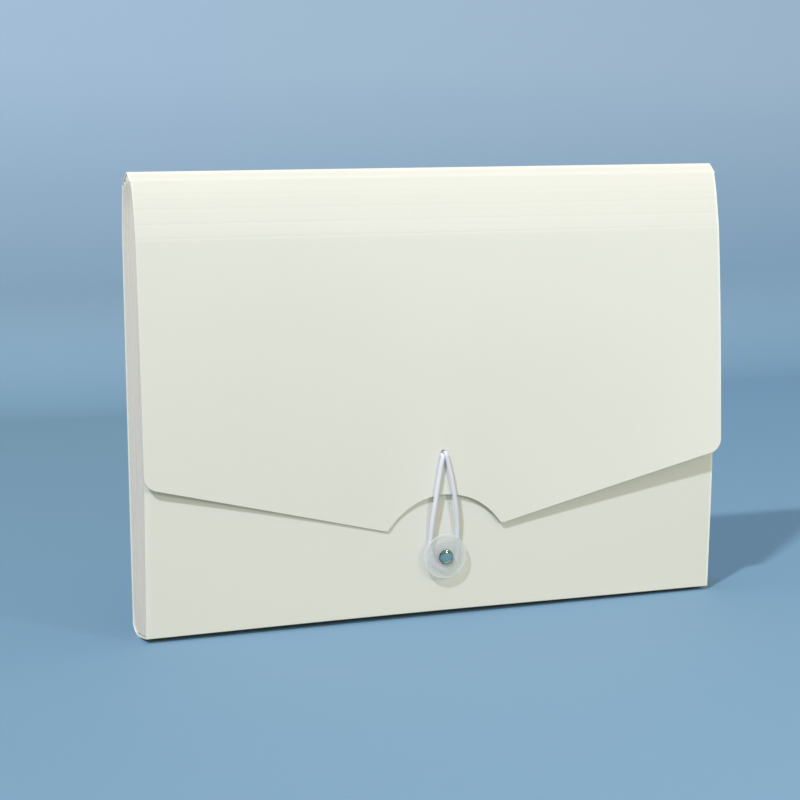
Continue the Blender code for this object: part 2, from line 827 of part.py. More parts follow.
def make_tag():
    """The flat tag moulded on the elastic's two ends, behind the flap, wider than the hole."""
    tag_y = flap_depth(elastic_hole_side, elastic_hole_height) + half_sheet + touch_gap + tag_thickness / 2
    bm = bmesh.new()
    bmesh.ops.create_cube(bm, size=1.0)
    bmesh.ops.scale(bm, verts=bm.verts, vec=(tag_length, tag_thickness, tag_height))
    bmesh.ops.translate(bm, verts=bm.verts, vec=(elastic_hole_side, tag_y, elastic_hole_height))
    keep(object_from(bm, "elastic_tag"), tag_material, axis_point(flap_crease))


make_covers()
make_roof()
make_flap()
make_dividers()
make_side_gussets()
make_bottom_gusset()
make_button()
make_elastic()
make_tag()
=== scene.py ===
import math

import bmesh
import bpy
from mathutils import Matrix, Vector


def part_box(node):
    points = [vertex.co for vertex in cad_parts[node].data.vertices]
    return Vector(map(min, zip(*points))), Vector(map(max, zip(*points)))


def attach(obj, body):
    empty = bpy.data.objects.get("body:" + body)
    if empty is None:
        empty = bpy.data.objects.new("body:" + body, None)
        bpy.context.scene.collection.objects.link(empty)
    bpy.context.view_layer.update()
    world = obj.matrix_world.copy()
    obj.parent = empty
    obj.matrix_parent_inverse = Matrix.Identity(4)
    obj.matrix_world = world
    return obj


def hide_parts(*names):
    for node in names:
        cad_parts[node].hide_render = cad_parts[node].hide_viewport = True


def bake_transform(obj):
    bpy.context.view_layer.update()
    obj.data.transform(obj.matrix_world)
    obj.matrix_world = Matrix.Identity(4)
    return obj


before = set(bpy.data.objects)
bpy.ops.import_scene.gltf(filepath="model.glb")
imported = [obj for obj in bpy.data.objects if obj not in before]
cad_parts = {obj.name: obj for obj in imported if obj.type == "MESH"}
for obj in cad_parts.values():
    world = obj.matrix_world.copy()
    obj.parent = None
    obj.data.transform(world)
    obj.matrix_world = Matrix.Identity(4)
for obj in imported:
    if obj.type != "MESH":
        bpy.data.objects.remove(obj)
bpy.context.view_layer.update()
mm = 0.001


def scaled(table):
    # a table of millimetres, brought to metres
    return {
        key: tuple(item * mm for item in value) if isinstance(value, tuple) else value * mm
        for key, value in table.items()
    }


def shareOf(value, start, end):
    # how far a value is on its way from start to end, kept between 0 and 1
    return min(max((value - start) / (end - start), 0.0), 1.0)


# The folder's own sizes in millimetres, and its creases as (y, z)
folder = scaled({
    "halfFront": 165.0, "halfBack": 166.0, "halfRoof": 167.0, "halfFlap": 166.5, "sheet": 0.8,
    "backMid": 18.2, "backTurn": 4.1, "leanReach": 29.0, "leanMost": 3.677,
    "frontHeight": 226.0, "frontBow": 5.35, "baseLip": (-3.6, 0.4), "frontCrease": (-7.6, 2.0),
    "rearCrease": (14.523, 236.299), "ridge": (-0.4, 243.1), "flapCrease": (-6.738, 238.905),
})
leanPower = 1.6
halfSheet = folder["sheet"] / 2
frontCrease = Vector(folder["frontCrease"])
rearCrease = Vector(folder["rearCrease"])
ridge = Vector(folder["ridge"])
flapCrease = Vector(folder["flapCrease"])
frontBowShares = (
    (0.0, 0.0), (0.288, 0.785), (0.417, 0.935), (0.55, 1.0), (0.684, 0.985),
    (0.795, 0.91), (0.884, 0.78), (0.947, 0.60), (1.0, 0.28),
)


def smoothTable(rows, share):
    # a smooth curve through the rows of a table of shares
    last = len(rows) - 2
    index = next((row for row in range(last) if share <= rows[row + 1][0]), last)
    (low, start), (high, end) = rows[index], rows[index + 1]
    before, after = rows[max(index - 1, 0)], rows[min(index + 2, last + 1)]
    leave = (end - before[1]) / (high - before[0])
    arrive = (after[1] - start) / (after[0] - low)
    t = (share - low) / (high - low)
    return (
        start * (1 + 2 * t) * (1 - t) ** 2 + end * t * t * (3 - 2 * t)
        + (high - low) * t * (leave * (1 - t) ** 2 + arrive * t * (t - 1))
    )


def backLean(z):
    return folder["leanMost"] * max(1.0 - (rearCrease.y - z) / folder["leanReach"], 0.0) ** leanPower


def frontCoverY(z):
    share = shareOf(z, frontCrease.y, frontCrease.y + folder["frontHeight"])
    return frontCrease.x - folder["frontBow"] * smoothTable(frontBowShares, share)


# Tools shared by the pieces


def linked(name, data):
    obj = bpy.data.objects.new(name, data)
    bpy.context.scene.collection.objects.link(obj)
    return obj


def newObject(bm, name):
    mesh = bpy.data.meshes.new(name)
    bm.to_mesh(mesh)
    bm.free()
    return linked(name, mesh)


def shownMesh(obj):
    # the object's mesh with its modifiers made real
    bpy.context.view_layer.update()
    return bpy.data.meshes.new_from_object(obj.evaluated_get(bpy.context.evaluated_depsgraph_get()))


def evenMarks(start, end, step):
    count = max(1, math.ceil(abs(end - start) / step))
    return [start + (end - start) * index / count for index in range(count + 1)]


def roundedCorner(x, z, radius, start, end, steps):
    turns = [math.radians(start + (end - start) * step / steps) for step in range(steps + 1)]
    return [(x + radius * math.cos(turn), z + radius * math.sin(turn)) for turn in turns]


def sheetGrid(columns, rowCount, place):
    # a grid whose points stand where place(column, row) says; rows run upwards, outside towards -Y
    bm = bmesh.new()
    bmesh.ops.create_grid(bm, x_segments=len(columns) - 1, y_segments=rowCount - 1, size=1.0)
    for vert in bm.verts:
        column = round((vert.co.x + 1) / 2 * (len(columns) - 1))
        row = round((vert.co.y + 1) / 2 * (rowCount - 1))
        vert.co = place(columns[column], row)
    return bm


def thicken(obj, thickness, evenly=True):
    # gives a sheet its thickness; an even one has its cut edges in the second material
    shell = obj.modifiers.new("thickness", "SOLIDIFY")
    shell.thickness = thickness
    shell.offset = 0.0
    shell.use_even_offset = evenly
    shell.use_quality_normals = evenly
    shell.material_offset_rim = int(evenly)
    flat = obj.data
    obj.data = shownMesh(obj)
    obj.modifiers.clear()
    bpy.data.meshes.remove(flat)
    obj.data.name = obj.name


def bevelEdges(bm, edges, width, segments):
    bmesh.ops.bevel(
        bm, geom=edges, offset=width, offset_type="OFFSET", affect="EDGES",
        segments=segments, profile=0.5, material=-1, clamp_overlap=True,
    )


def roundEdges(obj, chosen, width, segments):
    # bevels the sharp edges that chosen(middle, direction) picks
    bm = bmesh.new()
    bm.from_mesh(obj.data)
    edges = []
    for edge in bm.edges:
        if len(edge.link_faces) == 2 and edge.calc_face_angle() > 0.9:
            start, end = edge.verts[0].co, edge.verts[1].co
            if chosen((start + end) / 2, (end - start).normalized()):
                edges.append(edge)
    bevelEdges(bm, edges, width, segments)
    bm.to_mesh(obj.data)
    bm.free()


def roundedPlate(size, corner, segments):
    # a flat plate that faces Y, with its four corners rounded
    bm = bmesh.new()
    bmesh.ops.create_cube(bm, size=1.0)
    bmesh.ops.scale(bm, verts=bm.verts, vec=size)
    uprights = [edge for edge in bm.edges if edge.verts[0].co.y * edge.verts[1].co.y < 0]
    bevelEdges(bm, uprights, corner, segments)
    return bm


def smoothShade(obj, angle=35.0):
    obj.data.shade_smooth()
    obj.data.set_sharp_from_angle(angle=math.radians(angle))
    even = obj.modifiers.new("evenShade", "WEIGHTED_NORMAL")
    even.keep_sharp = True
    even.weight = 90


def paint(obj, name, value):
    # a layer of values for the material to read, by value(place) at each point
    layer = obj.data.attributes.new(name, "FLOAT", "POINT")
    for vert, item in zip(obj.data.vertices, layer.data):
        item.value = value(vert.co)


def dressed(obj, materials, body, nodes):
    obj.data.materials.clear()
    for material in materials:
        obj.data.materials.append(material)
    if body:
        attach(obj, body)
    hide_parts(*nodes)


# Materials


def newGroup(name, inputs, outputs):
    # the inputs by their defaults: none for a vector, a number for a value, a tuple for a colour
    group = bpy.data.node_groups.new(name, "ShaderNodeTree")
    for label, default in inputs.items():
        kind = "Float" if isinstance(default, float) else "Color" if default else "Vector"
        socket = group.interface.new_socket(name=label, in_out="INPUT", socket_type="NodeSocket" + kind)
        if default is not None:
            socket.default_value = default
    for label, kind in outputs.items():
        group.interface.new_socket(name=label, in_out="OUTPUT", socket_type="NodeSocket" + kind)
    start = group.nodes.new("NodeGroupInput")
    end = group.nodes.new("NodeGroupOutput")
    return group, start.outputs, end.inputs


def mathNode(tree, operation, first, second, clamp=False):
    node = tree.nodes.new("ShaderNodeMath")
    node.operation = operation
    node.use_clamp = clamp
    for socket, value in zip(node.inputs, (first, second)):
        if isinstance(value, float):
            socket.default_value = value
        else:
            tree.links.new(value, socket)
    return node.outputs[0]


def mapNode(tree, value, fromMin, fromMax, toMin, toMax):
    node = tree.nodes.new("ShaderNodeMapRange")
    node.clamp = True
    tree.links.new(value, node.inputs["Value"])
    for label, number in (("From Min", fromMin), ("From Max", fromMax), ("To Min", toMin), ("To Max", toMax)):
        node.inputs[label].default_value = number
    return node.outputs["Result"]


def noiseNode(tree, vector, scale, detail, roughness=0.5):
    node = tree.nodes.new("ShaderNodeTexNoise")
    for label, number in (("Scale", scale), ("Detail", detail), ("Roughness", roughness)):
        node.inputs[label].default_value = number
    tree.links.new(vector, node.inputs["Vector"])
    return node.outputs["Fac"]


def mixColour(tree, factor, first, second, blend="MIX"):
    node = tree.nodes.new("ShaderNodeMix")
    node.data_type = "RGBA"
    node.blend_type = blend
    node.clamp_factor = True
    for index, value in ((0, factor), (6, first), (7, second)):
        if isinstance(value, tuple):
            node.inputs[index].default_value = (*value, 1.0)
        else:
            tree.links.new(value, node.inputs[index])
    return node.outputs[2]


def dimmed(colour, share):
    return tuple(part * share for part in colour)


def layerNode(tree, name):
    node = tree.nodes.new("ShaderNodeAttribute")
    node.attribute_name = name
    return node.outputs["Fac"]


def makeSatinGrain():
    # the fine grain that an embossing roll leaves on polypropylene sheet
    group, given, made = newGroup(
        "satinGrain", {"Vector": None, "Grain": 1.0, "Waviness": 1.0}, {"Height": "Float", "Fleck": "Float"},
    )
    fine = noiseNode(group, given["Vector"], 2600.0, 3.0, 0.6)
    cells = group.nodes.new("ShaderNodeTexVoronoi")
    cells.inputs["Scale"].default_value = 1500.0
    group.links.new(given["Vector"], cells.inputs["Vector"])
    wave = noiseNode(group, given["Vector"], 22.0, 1.0)
    fineShare = mathNode(group, "MULTIPLY", fine, 0.6)
    cellShare = mathNode(group, "MULTIPLY", cells.outputs["Distance"], 0.4)
    grain = mathNode(group, "MULTIPLY", mathNode(group, "ADD", fineShare, cellShare), given["Grain"])
    wave = mathNode(group, "MULTIPLY", mathNode(group, "MULTIPLY", wave, 6.0), given["Waviness"])
    group.links.new(mathNode(group, "ADD", grain, wave), made["Height"])
    group.links.new(fine, made["Fleck"])
    return group


def makeHandlingMarks():
    # broad soft smudges from hands
    group, given, made = newGroup("handlingMarks", {"Vector": None, "Amount": 1.0}, {"Smudge": "Float"})
    broad = mapNode(group, noiseNode(group, given["Vector"], 9.0, 3.0, 0.55), 0.35, 0.7, 0.0, 1.0)
    group.links.new(mathNode(group, "MULTIPLY", broad, given["Amount"]), made["Smudge"])
    return group


def makeWhiteMixWithHighlight():
    # polypropylene turns white where it is scored or folded; the same white also carries painted highlights
    # and painted light
    group, given, made = newGroup(
        "whiteMixWithHighlight",
        {"Vector": None, "Mask": 0.0, "Colour": (0.8, 0.8, 0.8, 1.0), "White": (0.92, 0.92, 0.9, 1.0)},
        {"Colour": "Color", "Mask": "Float"},
    )
    patch = mapNode(group, noiseNode(group, given["Vector"], 260.0, 2.0), 0.3, 0.7, 0.75, 1.1)
    mask = mathNode(group, "MULTIPLY", given["Mask"], patch, clamp=True)
    group.links.new(mixColour(group, mask, given["Colour"], given["White"]), made["Colour"])
    group.links.new(mask, made["Mask"])
    return group


satinGrain = makeSatinGrain()
handlingMarks = makeHandlingMarks()
whiteMixWithHighlight = makeWhiteMixWithHighlight()


def newMaterial(name, space="Object"):
    material = bpy.data.materials.new(name)
    material.use_nodes = True
    tree = material.node_tree
    vector = tree.nodes.new("ShaderNodeTexCoord").outputs[space]
    return material, tree, tree.nodes["Principled BSDF"], vector


def placeGroup(tree, group, vector, values):
    node = tree.nodes.new("ShaderNodeGroup")
    node.node_tree = group
    tree.links.new(vector, node.inputs["Vector"])
    for label, value in values.items():
        node.inputs[label].default_value = value
    return node


def dressShader(tree, shader, colour, roughness, height, strength, distance):
    # the colour, roughness and fine relief that every material has
    bump = tree.nodes.new("ShaderNodeBump")
    bump.inputs["Strength"].default_value = strength
    bump.inputs["Distance"].default_value = distance
    tree.links.new(height, bump.inputs["Height"])
    tree.links.new(bump.outputs["Normal"], shader.inputs["Normal"])
    tree.links.new(colour, shader.inputs["Base Color"])
    tree.links.new(roughness, shader.inputs["Roughness"])


def sheetMaterial(name, look):
    # rolled plastic sheet: satin grain, smudges, and whitened folds and edges that are partly painted
    # highlight
    material, tree, shader, vector = newMaterial(name)
    grain = placeGroup(tree, satinGrain, vector, {"Grain": look["grain"], "Waviness": look["waviness"]})
    smudge = placeGroup(tree, handlingMarks, vector, {"Amount": look["marks"]}).outputs["Smudge"]
    fleck = mapNode(tree, grain.outputs["Fleck"], 0.35, 0.65, 0.0, look["fleck"])
    tint = mixColour(tree, smudge, look["colour"], dimmed(look["colour"], 0.965))
    tint = mixColour(tree, fleck, tint, dimmed(look["colour"], 0.9))
    folds = placeGroup(tree, whiteMixWithHighlight, vector, {"White": (*look["white"], 1.0)})
    tree.links.new(layerNode(tree, "whiteAndHighlight"), folds.inputs["Mask"])
    tree.links.new(tint, folds.inputs["Colour"])
    rough = mapNode(tree, smudge, 0.0, 1.0, look["roughness"] - 0.03, look["roughness"] + 0.05)
    shader.inputs["Specular IOR Level"].default_value = look["gloss"]
    tint, height = folds.outputs["Colour"], grain.outputs["Height"]
    dressShader(tree, shader, tint, rough, height, look["bump"], 0.02 * mm)
    return material


coverLook = {
    "colour": (0.80, 0.80, 0.775), "roughness": 0.46, "gloss": 0.3, "grain": 1.0, "waviness": 0.8,
    "marks": 0.5, "fleck": 0.15, "bump": 0.5, "white": (0.95, 0.96, 0.93),
}
cutEdgeLook = {**coverLook, "colour": (0.93, 0.94, 0.90), "marks": 0.3, "grain": 0.6}
filmLook = {
    "colour": (0.655, 0.635, 0.64), "roughness": 0.5, "gloss": 0.25, "grain": 0.6, "waviness": 1.6,
    "marks": 0.6, "fleck": 0.15, "bump": 0.4, "white": (0.86, 0.80, 0.75),
}
dividerLook = {
    "colour": (0.74, 0.765, 0.765), "roughness": 0.34, "gloss": 0.5, "grain": 0.8, "waviness": 1.2,
    "marks": 0.5, "fleck": 0.2, "bump": 0.5, "white": (0.9, 0.91, 0.91),
}
coverPlastic = sheetMaterial("creamPolypropylene", coverLook)
cutEdgePlastic = sheetMaterial("cutSheetEdge", cutEdgeLook)
gussetFilm = sheetMaterial("pleatedFilm", filmLook)
dividerPlastic = sheetMaterial("frostedDivider", dividerLook)
print("materials: sheets made")


def makeLabelPaper():
    look = {"colour": (0.84, 0.835, 0.81), "roughness": 0.82}
    material, tree, shader, vector = newMaterial("labelPaper")
    fibres = noiseNode(tree, vector, 1400.0, 4.0, 0.7)
    tone = mapNode(tree, fibres, 0.3, 0.7, 0.0, 0.12)
    tint = mixColour(tree, tone, look["colour"], dimmed(look["colour"], 0.8))
    rough = mapNode(tree, fibres, 0.3, 0.7, look["roughness"] - 0.06, look["roughness"] + 0.06)
    dressShader(tree, shader, tint, rough, fibres, 0.5, 0.03 * mm)
    return material


def makeDiscPlastic():
    # milky and half clear, denser at the rim
    look = {
        "colour": (0.80, 0.84, 0.88), "roughness": 0.3, "alpha": 0.27, "cloudAlpha": 0.37, "rimAlpha": 0.14,
    }
    material, tree, shader, vector = newMaterial("milkyDisc")
    smudge = placeGroup(tree, handlingMarks, vector, {"Amount": 0.8}).outputs["Smudge"]
    cloud = noiseNode(tree, vector, 160.0, 2.0)
    tone = mapNode(tree, cloud, 0.3, 0.7, 0.0, 0.3)
    tint = mixColour(tree, tone, look["colour"], dimmed(look["colour"], 0.93))
    rough = mapNode(tree, smudge, 0.0, 1.0, look["roughness"], look["roughness"] + 0.08)
    milk = mapNode(tree, cloud, 0.3, 0.7, look["alpha"], look["cloudAlpha"])
    rim = mathNode(tree, "MULTIPLY", layerNode(tree, "rim"), look["rimAlpha"])
    tree.links.new(mathNode(tree, "ADD", milk, rim, clamp=True), shader.inputs["Alpha"])
    shader.inputs["IOR"].default_value = 1.45
    dressShader(tree, shader, tint, rough, noiseNode(tree, vector, 700.0, 2.0), 0.15, 0.02 * mm)
    return material


def makeNickel():
    # bright nickel, with the outer rim of its head painted near black as a painted dark reflection
    look = {"colour": (0.48, 0.63, 0.56), "paintedRimShade": (0.05, 0.07, 0.07), "roughness": 0.07}
    material, tree, shader, vector = newMaterial("nickelPlate")
    smudge = placeGroup(tree, handlingMarks, vector, {"Amount": 1.0}).outputs["Smudge"]
    fine = noiseNode(tree, vector, 5200.0, 2.0)
    tint = mixColour(tree, smudge, look["colour"], dimmed(look["colour"], 0.86))
    # painted dark reflection: the rim band of the head is painted near black
    tint = mixColour(tree, layerNode(tree, "groove"), tint, look["paintedRimShade"])
    rough = mapNode(tree, fine, 0.3, 0.7, look["roughness"] - 0.03, look["roughness"] + 0.04)
    shader.inputs["Metallic"].default_value = 1.0
    dressShader(tree, shader, tint, rough, fine, 0.06, 0.01 * mm)
    return material


def makeTagPlastic():
    look = {"colour": (0.82, 0.83, 0.86), "roughness": 0.34}
    material, tree, shader, vector = newMaterial("mouldedTag")
    grain = placeGroup(tree, satinGrain, vector, {"Grain": 1.0, "Waviness": 0.4})
    fleck = grain.outputs["Fleck"]
    tone = mapNode(tree, fleck, 0.3, 0.7, 0.0, 0.2)
    tint = mixColour(tree, tone, look["colour"], dimmed(look["colour"], 0.9))
    rough = mapNode(tree, fleck, 0.3, 0.7, look["roughness"] - 0.04, look["roughness"] + 0.06)
    dressShader(tree, shader, tint, rough, grain.outputs["Height"], 0.4, 0.02 * mm)
    return material


def makeElasticYarn():
    # white yarn with a lilac cast: fibres run along each bundle, and painted shade makes the valleys between
    # bundles darker
    look = {"colour": (0.84, 0.84, 0.96), "valleyShadeAndFibreTone": (0.66, 0.67, 0.81), "roughness": 0.62}
    material, tree, shader, vector = newMaterial("braidedYarn", "UV")
    stretch = tree.nodes.new("ShaderNodeMapping")
    stretch.inputs["Scale"].default_value = (60.0, 900.0, 1.0)
    tree.links.new(vector, stretch.inputs["Vector"])
    fibres = noiseNode(tree, stretch.outputs["Vector"], 1.0, 3.0, 0.6)
    # painted shade: darker where the bundles sink; the same darker colour also gives the fibres their random
    # tone
    crown = mapNode(tree, layerNode(tree, "bundleHeight"), 0.15, 0.75, 0.0, 1.0)
    tint = mixColour(tree, crown, look["valleyShadeAndFibreTone"], look["colour"])
    tint = mixColour(tree, mapNode(tree, fibres, 0.35, 0.7, 0.0, 0.25), tint, look["valleyShadeAndFibreTone"])
    rough = mapNode(tree, fibres, 0.3, 0.7, look["roughness"] - 0.08, look["roughness"] + 0.12)
    shader.inputs["Sheen Weight"].default_value = 0.35
    shader.inputs["Sheen Roughness"].default_value = 0.4
    dressShader(tree, shader, tint, rough, fibres, 0.6, 0.04 * mm)
    return material


labelPaper = makeLabelPaper()
discPlastic = makeDiscPlastic()
nickelPlate = makeNickel()
tagPlastic = makeTagPlastic()
elasticYarn = makeElasticYarn()
print("materials: button, elastic and labels made")


# Cover panels

panelFinish = scaled({
    "cutBevel": 0.11, "endRound": 0.385, "creaseReach": 1.1, "scoreReach": 0.55,
    "columnStep": 12.0, "sideBand": 4.0, "sideSteps": (1.9, 1.4, 1.1, 0.8, 0.5, 0.25),
    "baseStep": 1.4, "turnGap": 1.6, "backStep": 20.0, "frontStep": 6.0, "creaseRow": 0.8, "seam": 0.01,
})
leanRowShares = (0.1, 0.2, 0.3, 0.4, 0.5, 0.6, 0.7, 0.8, 0.88, 0.94)
foldedEnd = halfSheet - panelFinish["seam"]  # how far a panel runs past its crease


def sidePlaces(half):
    # columns across a panel, closer together near its cut side edges
    inner = half - panelFinish["sideBand"]
    right = [half - step for step in panelFinish["sideSteps"]] + [half]
    return [-place for place in reversed(right)] + evenMarks(-inner, inner, panelFinish["columnStep"]) + right


def finishEdges(sheet, ends):
    # a full round where the sheet meets the next one, at its (y, z) ends, and a fine bevel on its cut edges
    def atEnd(middle, direction):
        return abs(direction.x) > 0.9 and any((middle.yz - end).length < 2.2 * halfSheet for end in ends)

    roundEdges(sheet, atEnd, panelFinish["endRound"], 4)
    roundEdges(sheet, lambda middle, direction: not atEnd(middle, direction), panelFinish["cutBevel"], 2)
    for face in sheet.data.polygons:
        if abs(face.normal.x) < 0.3 and any((face.center.yz - end).length < 2.0 * halfSheet for end in ends):
            face.material_index = 0


def makePanel(name, profile, half, roundEnds, halfAtRow=None):
    # a panel that is straight along X and follows the (y, z) rows of its profile
    def place(x, row):
        width = halfAtRow(row) / half if halfAtRow else 1.0
        return Vector((x * width, *profile[row]))

    panel = newObject(sheetGrid(sidePlaces(half), len(profile), place), name)
    thicken(panel, folder["sheet"])
    finishEdges(panel, [profile[index] for index in roundEnds])
    return panel


def whitenAndHighlight(sheet, creases, rims, reach=panelFinish["creaseReach"]):
    # how strongly a fold or a cut side edge whitens the sheet; on the ridge and on the side edges of the
    # front cover and flap this white is partly a painted highlight
    def strongest(place):
        near = [power * math.exp(-((abs(place.x - edge) / width) ** 4)) for edge, width, power in rims]
        for fold, power in creases:
            near.append(power * math.exp(-(((place.yz - Vector(fold)).length / reach) ** 2)))
        return max(near)

    paint(sheet, "whiteAndHighlight", strongest)


def dressCover(sheet, body, nodes, angle=35.0):
    dressed(sheet, [coverPlastic, cutEdgePlastic], body, nodes)
    smoothShade(sheet, angle)


liftedEdge = scaled({"reach": 30.0, "back": 9.0, "endReach": 9.0})
liftPower = 2.2
# how high the front edge stands, in millimetres, from its left end to its right end
edgeLifts = ((0.0, 0.9), (0.3, 1.35), (0.52, 1.35), (0.74, 0.9), (1.0, 0.5))


def edgeLift(x):
    return smoothTable(edgeLifts, shareOf(x, -folder["halfFront"], folder["halfFront"])) * mm


def baseRise(x, y):
    # the base arches up from the floor towards the front edge, and its two ends rise straight
    ramp = shareOf(y, liftedEdge["back"], frontCrease.x)
    arch = 1 - (1 - ramp) ** liftPower
    inward = shareOf(abs(x), folder["halfFront"], folder["halfFront"] - liftedEdge["endReach"])
    inward *= inward * (3 - 2 * inward)
    return (frontCrease.y - halfSheet + edgeLift(x)) * (ramp + (arch - ramp) * inward)


def makeBackAndBase():
    # one sheet: from the front crease over the base and the round corner, and up the back to the rear crease
    turn = folder["backTurn"]
    centre = Vector((folder["backMid"] - turn, halfSheet + turn))
    places = evenMarks(frontCrease.x - halfSheet, centre.x - panelFinish["turnGap"], panelFinish["baseStep"])
    rows = [Vector((y, halfSheet)) for y in places]
    rows += [Vector(point) for point in roundedCorner(*centre, turn, -90, 0, 12)]
    leanStart = rearCrease.y - folder["leanReach"]
    heights = evenMarks(rows[-1].y, leanStart, panelFinish["backStep"])[1:]
    heights += [leanStart + folder["leanReach"] * share for share in leanRowShares]
    rows += [Vector((folder["backMid"] - backLean(height), height)) for height in heights]
    direction = (rearCrease - rows[-1]).normalized()
    rows += [rearCrease - direction * panelFinish["creaseRow"], rearCrease + direction * halfSheet]

    def half(row):
        share = shareOf(rows[row].y, halfSheet, halfSheet + turn)
        return folder["halfFront"] + (folder["halfBack"] - folder["halfFront"]) * share

    sheet = makePanel("backAndBaseSheet", rows, folder["halfBack"], [0, -1], half)
    rims = [(side * folder["halfBack"], 1.5 * mm, 0.9) for side in (-1, 1)]
    whitenAndHighlight(sheet, [(rearCrease, 0.9), ((frontCrease.x, halfSheet), 0.5)], rims)
    for vert in sheet.data.vertices:
        if vert.co.y < liftedEdge["back"]:
            vert.co.z += baseRise(vert.co.x, vert.co.y)
    dressCover(sheet, "pocket_block", ["back_cover", "base_panel"])


def makeFrontCover():
    heights = evenMarks(frontCrease.y, frontCrease.y + folder["frontHeight"], panelFinish["frontStep"])
    rows = [Vector((frontCoverY(height), height)) for height in heights]
    rows.insert(1, rows[0].lerp(rows[1], 0.15))
    rows[0] = rows[0] + (rows[0] - rows[1]).normalized() * foldedEnd
    cover = makePanel("frontCoverSheet", rows, folder["halfFront"], [0])
    for vert in cover.data.vertices:
        down = shareOf(vert.co.z, frontCrease.y + liftedEdge["reach"], frontCrease.y)
        vert.co.z += edgeLift(vert.co.x) * down ** 2
    # painted highlight on the side edges, far stronger on the right, partly edge whitening
    rims = [(folder["halfFront"], 1.0 * mm, 0.95), (-folder["halfFront"], 2.2 * mm, 0.25)]
    whitenAndHighlight(cover, [(frontCrease, 0.5)], rims)
    dressCover(cover, "front_cover", ["front_cover"])


upperCorner = scaled({"widen": 1.3, "lift": 0.9, "low": 214.0, "from": 120.0})


def flareRight(sheet):
    # the sheet's upper right corner stands a little wide and high, as it does on a used folder
    half = folder["halfRoof"]
    for vert in sheet.data.vertices:
        up = shareOf(vert.co.z, upperCorner["low"], ridge.y) ** 1.6
        out = shareOf(vert.co.x, upperCorner["from"], half)
        across = (vert.co.x + half) / (2 * half)
        vert.co.x += upperCorner["widen"] * up * out * out
        vert.co.z += upperCorner["lift"] * across * up ** 3


def makeRoof():
    score = scaled({"halfWidth": 0.25, "near": 0.05, "depth": 0.07, "taper": 1.25})
    row, full = panelFinish["creaseRow"], folder["halfRoof"]
    rims = [(side * full, 1.0 * mm, 0.8) for side in (-1, 1)]
    away = (rearCrease - ridge).normalized()
    middle = (ridge + rearCrease) / 2
    half = (ridge - rearCrease).length / 2
    spots = [-half - halfSheet, row - half, -half / 2, -score["halfWidth"], 0.0,
             score["halfWidth"], half / 2, half - row, half + foldedEnd]
    rows = [middle + away * spot for spot in spots]

    def rearHalf(index):
        return full - score["taper"] * min((rows[index] - ridge).length / (2 * half), 1.0) ** 2

    rear = makePanel("rearRoofSheet", rows, full, [0, -1], rearHalf)
    outward = Vector((-away.y, away.x))
    for vert in rear.data.vertices:
        # the score groove along its middle
        offset = vert.co.yz - middle
        if abs(offset.dot(away)) < score["near"] and offset.dot(outward) > halfSheet / 2:
            vert.co.yz -= outward * score["depth"]
    # painted highlight along the ridge, partly fold whitening
    whitenAndHighlight(rear, [(rearCrease, 0.9), (ridge, 1.0), (middle, 0.2)], rims)
    flareRight(rear)
    dressCover(rear, "rear_roof", ["rear_roof_panel"])

    away = (flapCrease - ridge).normalized()
    reach = (flapCrease - ridge).length
    spots = [reach + foldedEnd, reach - row, reach / 2, row, -foldedEnd]
    front = makePanel("frontRoofSheet", [ridge + away * spot for spot in spots], full, [0, -1])
    # painted highlight along the ridge, partly fold whitening
    whitenAndHighlight(front, [(ridge, 1.0), (flapCrease, 0.3)], rims)
    flareRight(front)
    dressCover(front, "front_roof", ["front_roof_panel"])


makeBackAndBase()
makeFrontCover()
makeRoof()
print("cover: back and base, front cover and roof made")


# Flap

flapSize = scaled({
    "strip": 7.6, "tipHeight": 50.0, "cornerHeight": 83.2, "cornerRadius": 8.0,
    "archHalf": 33.0, "archRise": 18.3, "tipRound": 2.2, "pull": 4.8, "footY": -18.2,
    "holeSide": -1.2, "holeHeight": 90.8, "holeRadius": 2.25, "holePitch": 1.9,
    "scoreWidth": 0.5, "scoreNear": 0.2, "scoreDepth": 0.08, "blend": 3.0,
    "rowStep": 1.3, "bodyStep": 5.0, "archStep": 2.0, "tipStep": 0.6, "sideStep": 4.0,
})
# how far the lower edge leans towards the front cover, in millimetres, from its left end to its right end
flapSway = (
    (0.0, 1.45), (0.16, 1.7), (0.32, 1.75), (0.4, 1.6), (0.45, 0.75), (0.5, 0.0),
    (0.6, 0.05), (0.7, -0.65), (0.8, -1.4), (0.9, -2.0), (1.0, -2.7),
)
swayShares = Vector((0.37, 1.0, -0.12))  # along X, Y and Z
flapSlopes = (67.4, 74.9, 78.0, 80.4)
flapFall = 3.1
pullPower = 1.5
holeRingShare = 2.4
tipLiftShare = 0.165

flapKnees = [flapCrease.copy()]
for slope in flapSlopes:
    turn = math.radians(slope)
    flapKnees.append(flapKnees[-1] - flapSize["strip"] * Vector((math.cos(turn), math.sin(turn))))


def flapProfile(x, z):
    knee = flapKnees[-1]
    if z >= knee.y:
        edge = flapKnees[0].x
        for upper, lower in zip(flapKnees[:-1], flapKnees[1:]):
            if z <= upper.y + 1e-6:
                edge = upper.x + (lower.x - upper.x) * min((upper.y - z) / (upper.y - lower.y), 1.0)
        return edge
    down = min((knee.y - z) / (knee.y - flapSize["tipHeight"]), 1.0)
    edge = knee.x + (flapSize["footY"] - knee.x) * (1 - (1 - down) ** flapFall)
    return edge + flapSize["pull"] * max(1 - (x / folder["halfFlap"]) ** 2, 0.0) * down ** pullPower


def flapY(x, z):
    # the scored strips run into one another smoothly
    blend = max(min(flapSize["blend"], flapKnees[0].y - z), 0.0)
    steps = ((-1.0, 1), (-0.5, 2), (0.0, 3), (0.5, 2), (1.0, 1))
    return sum(weight * flapProfile(x, z + step * blend) for step, weight in steps) / 9


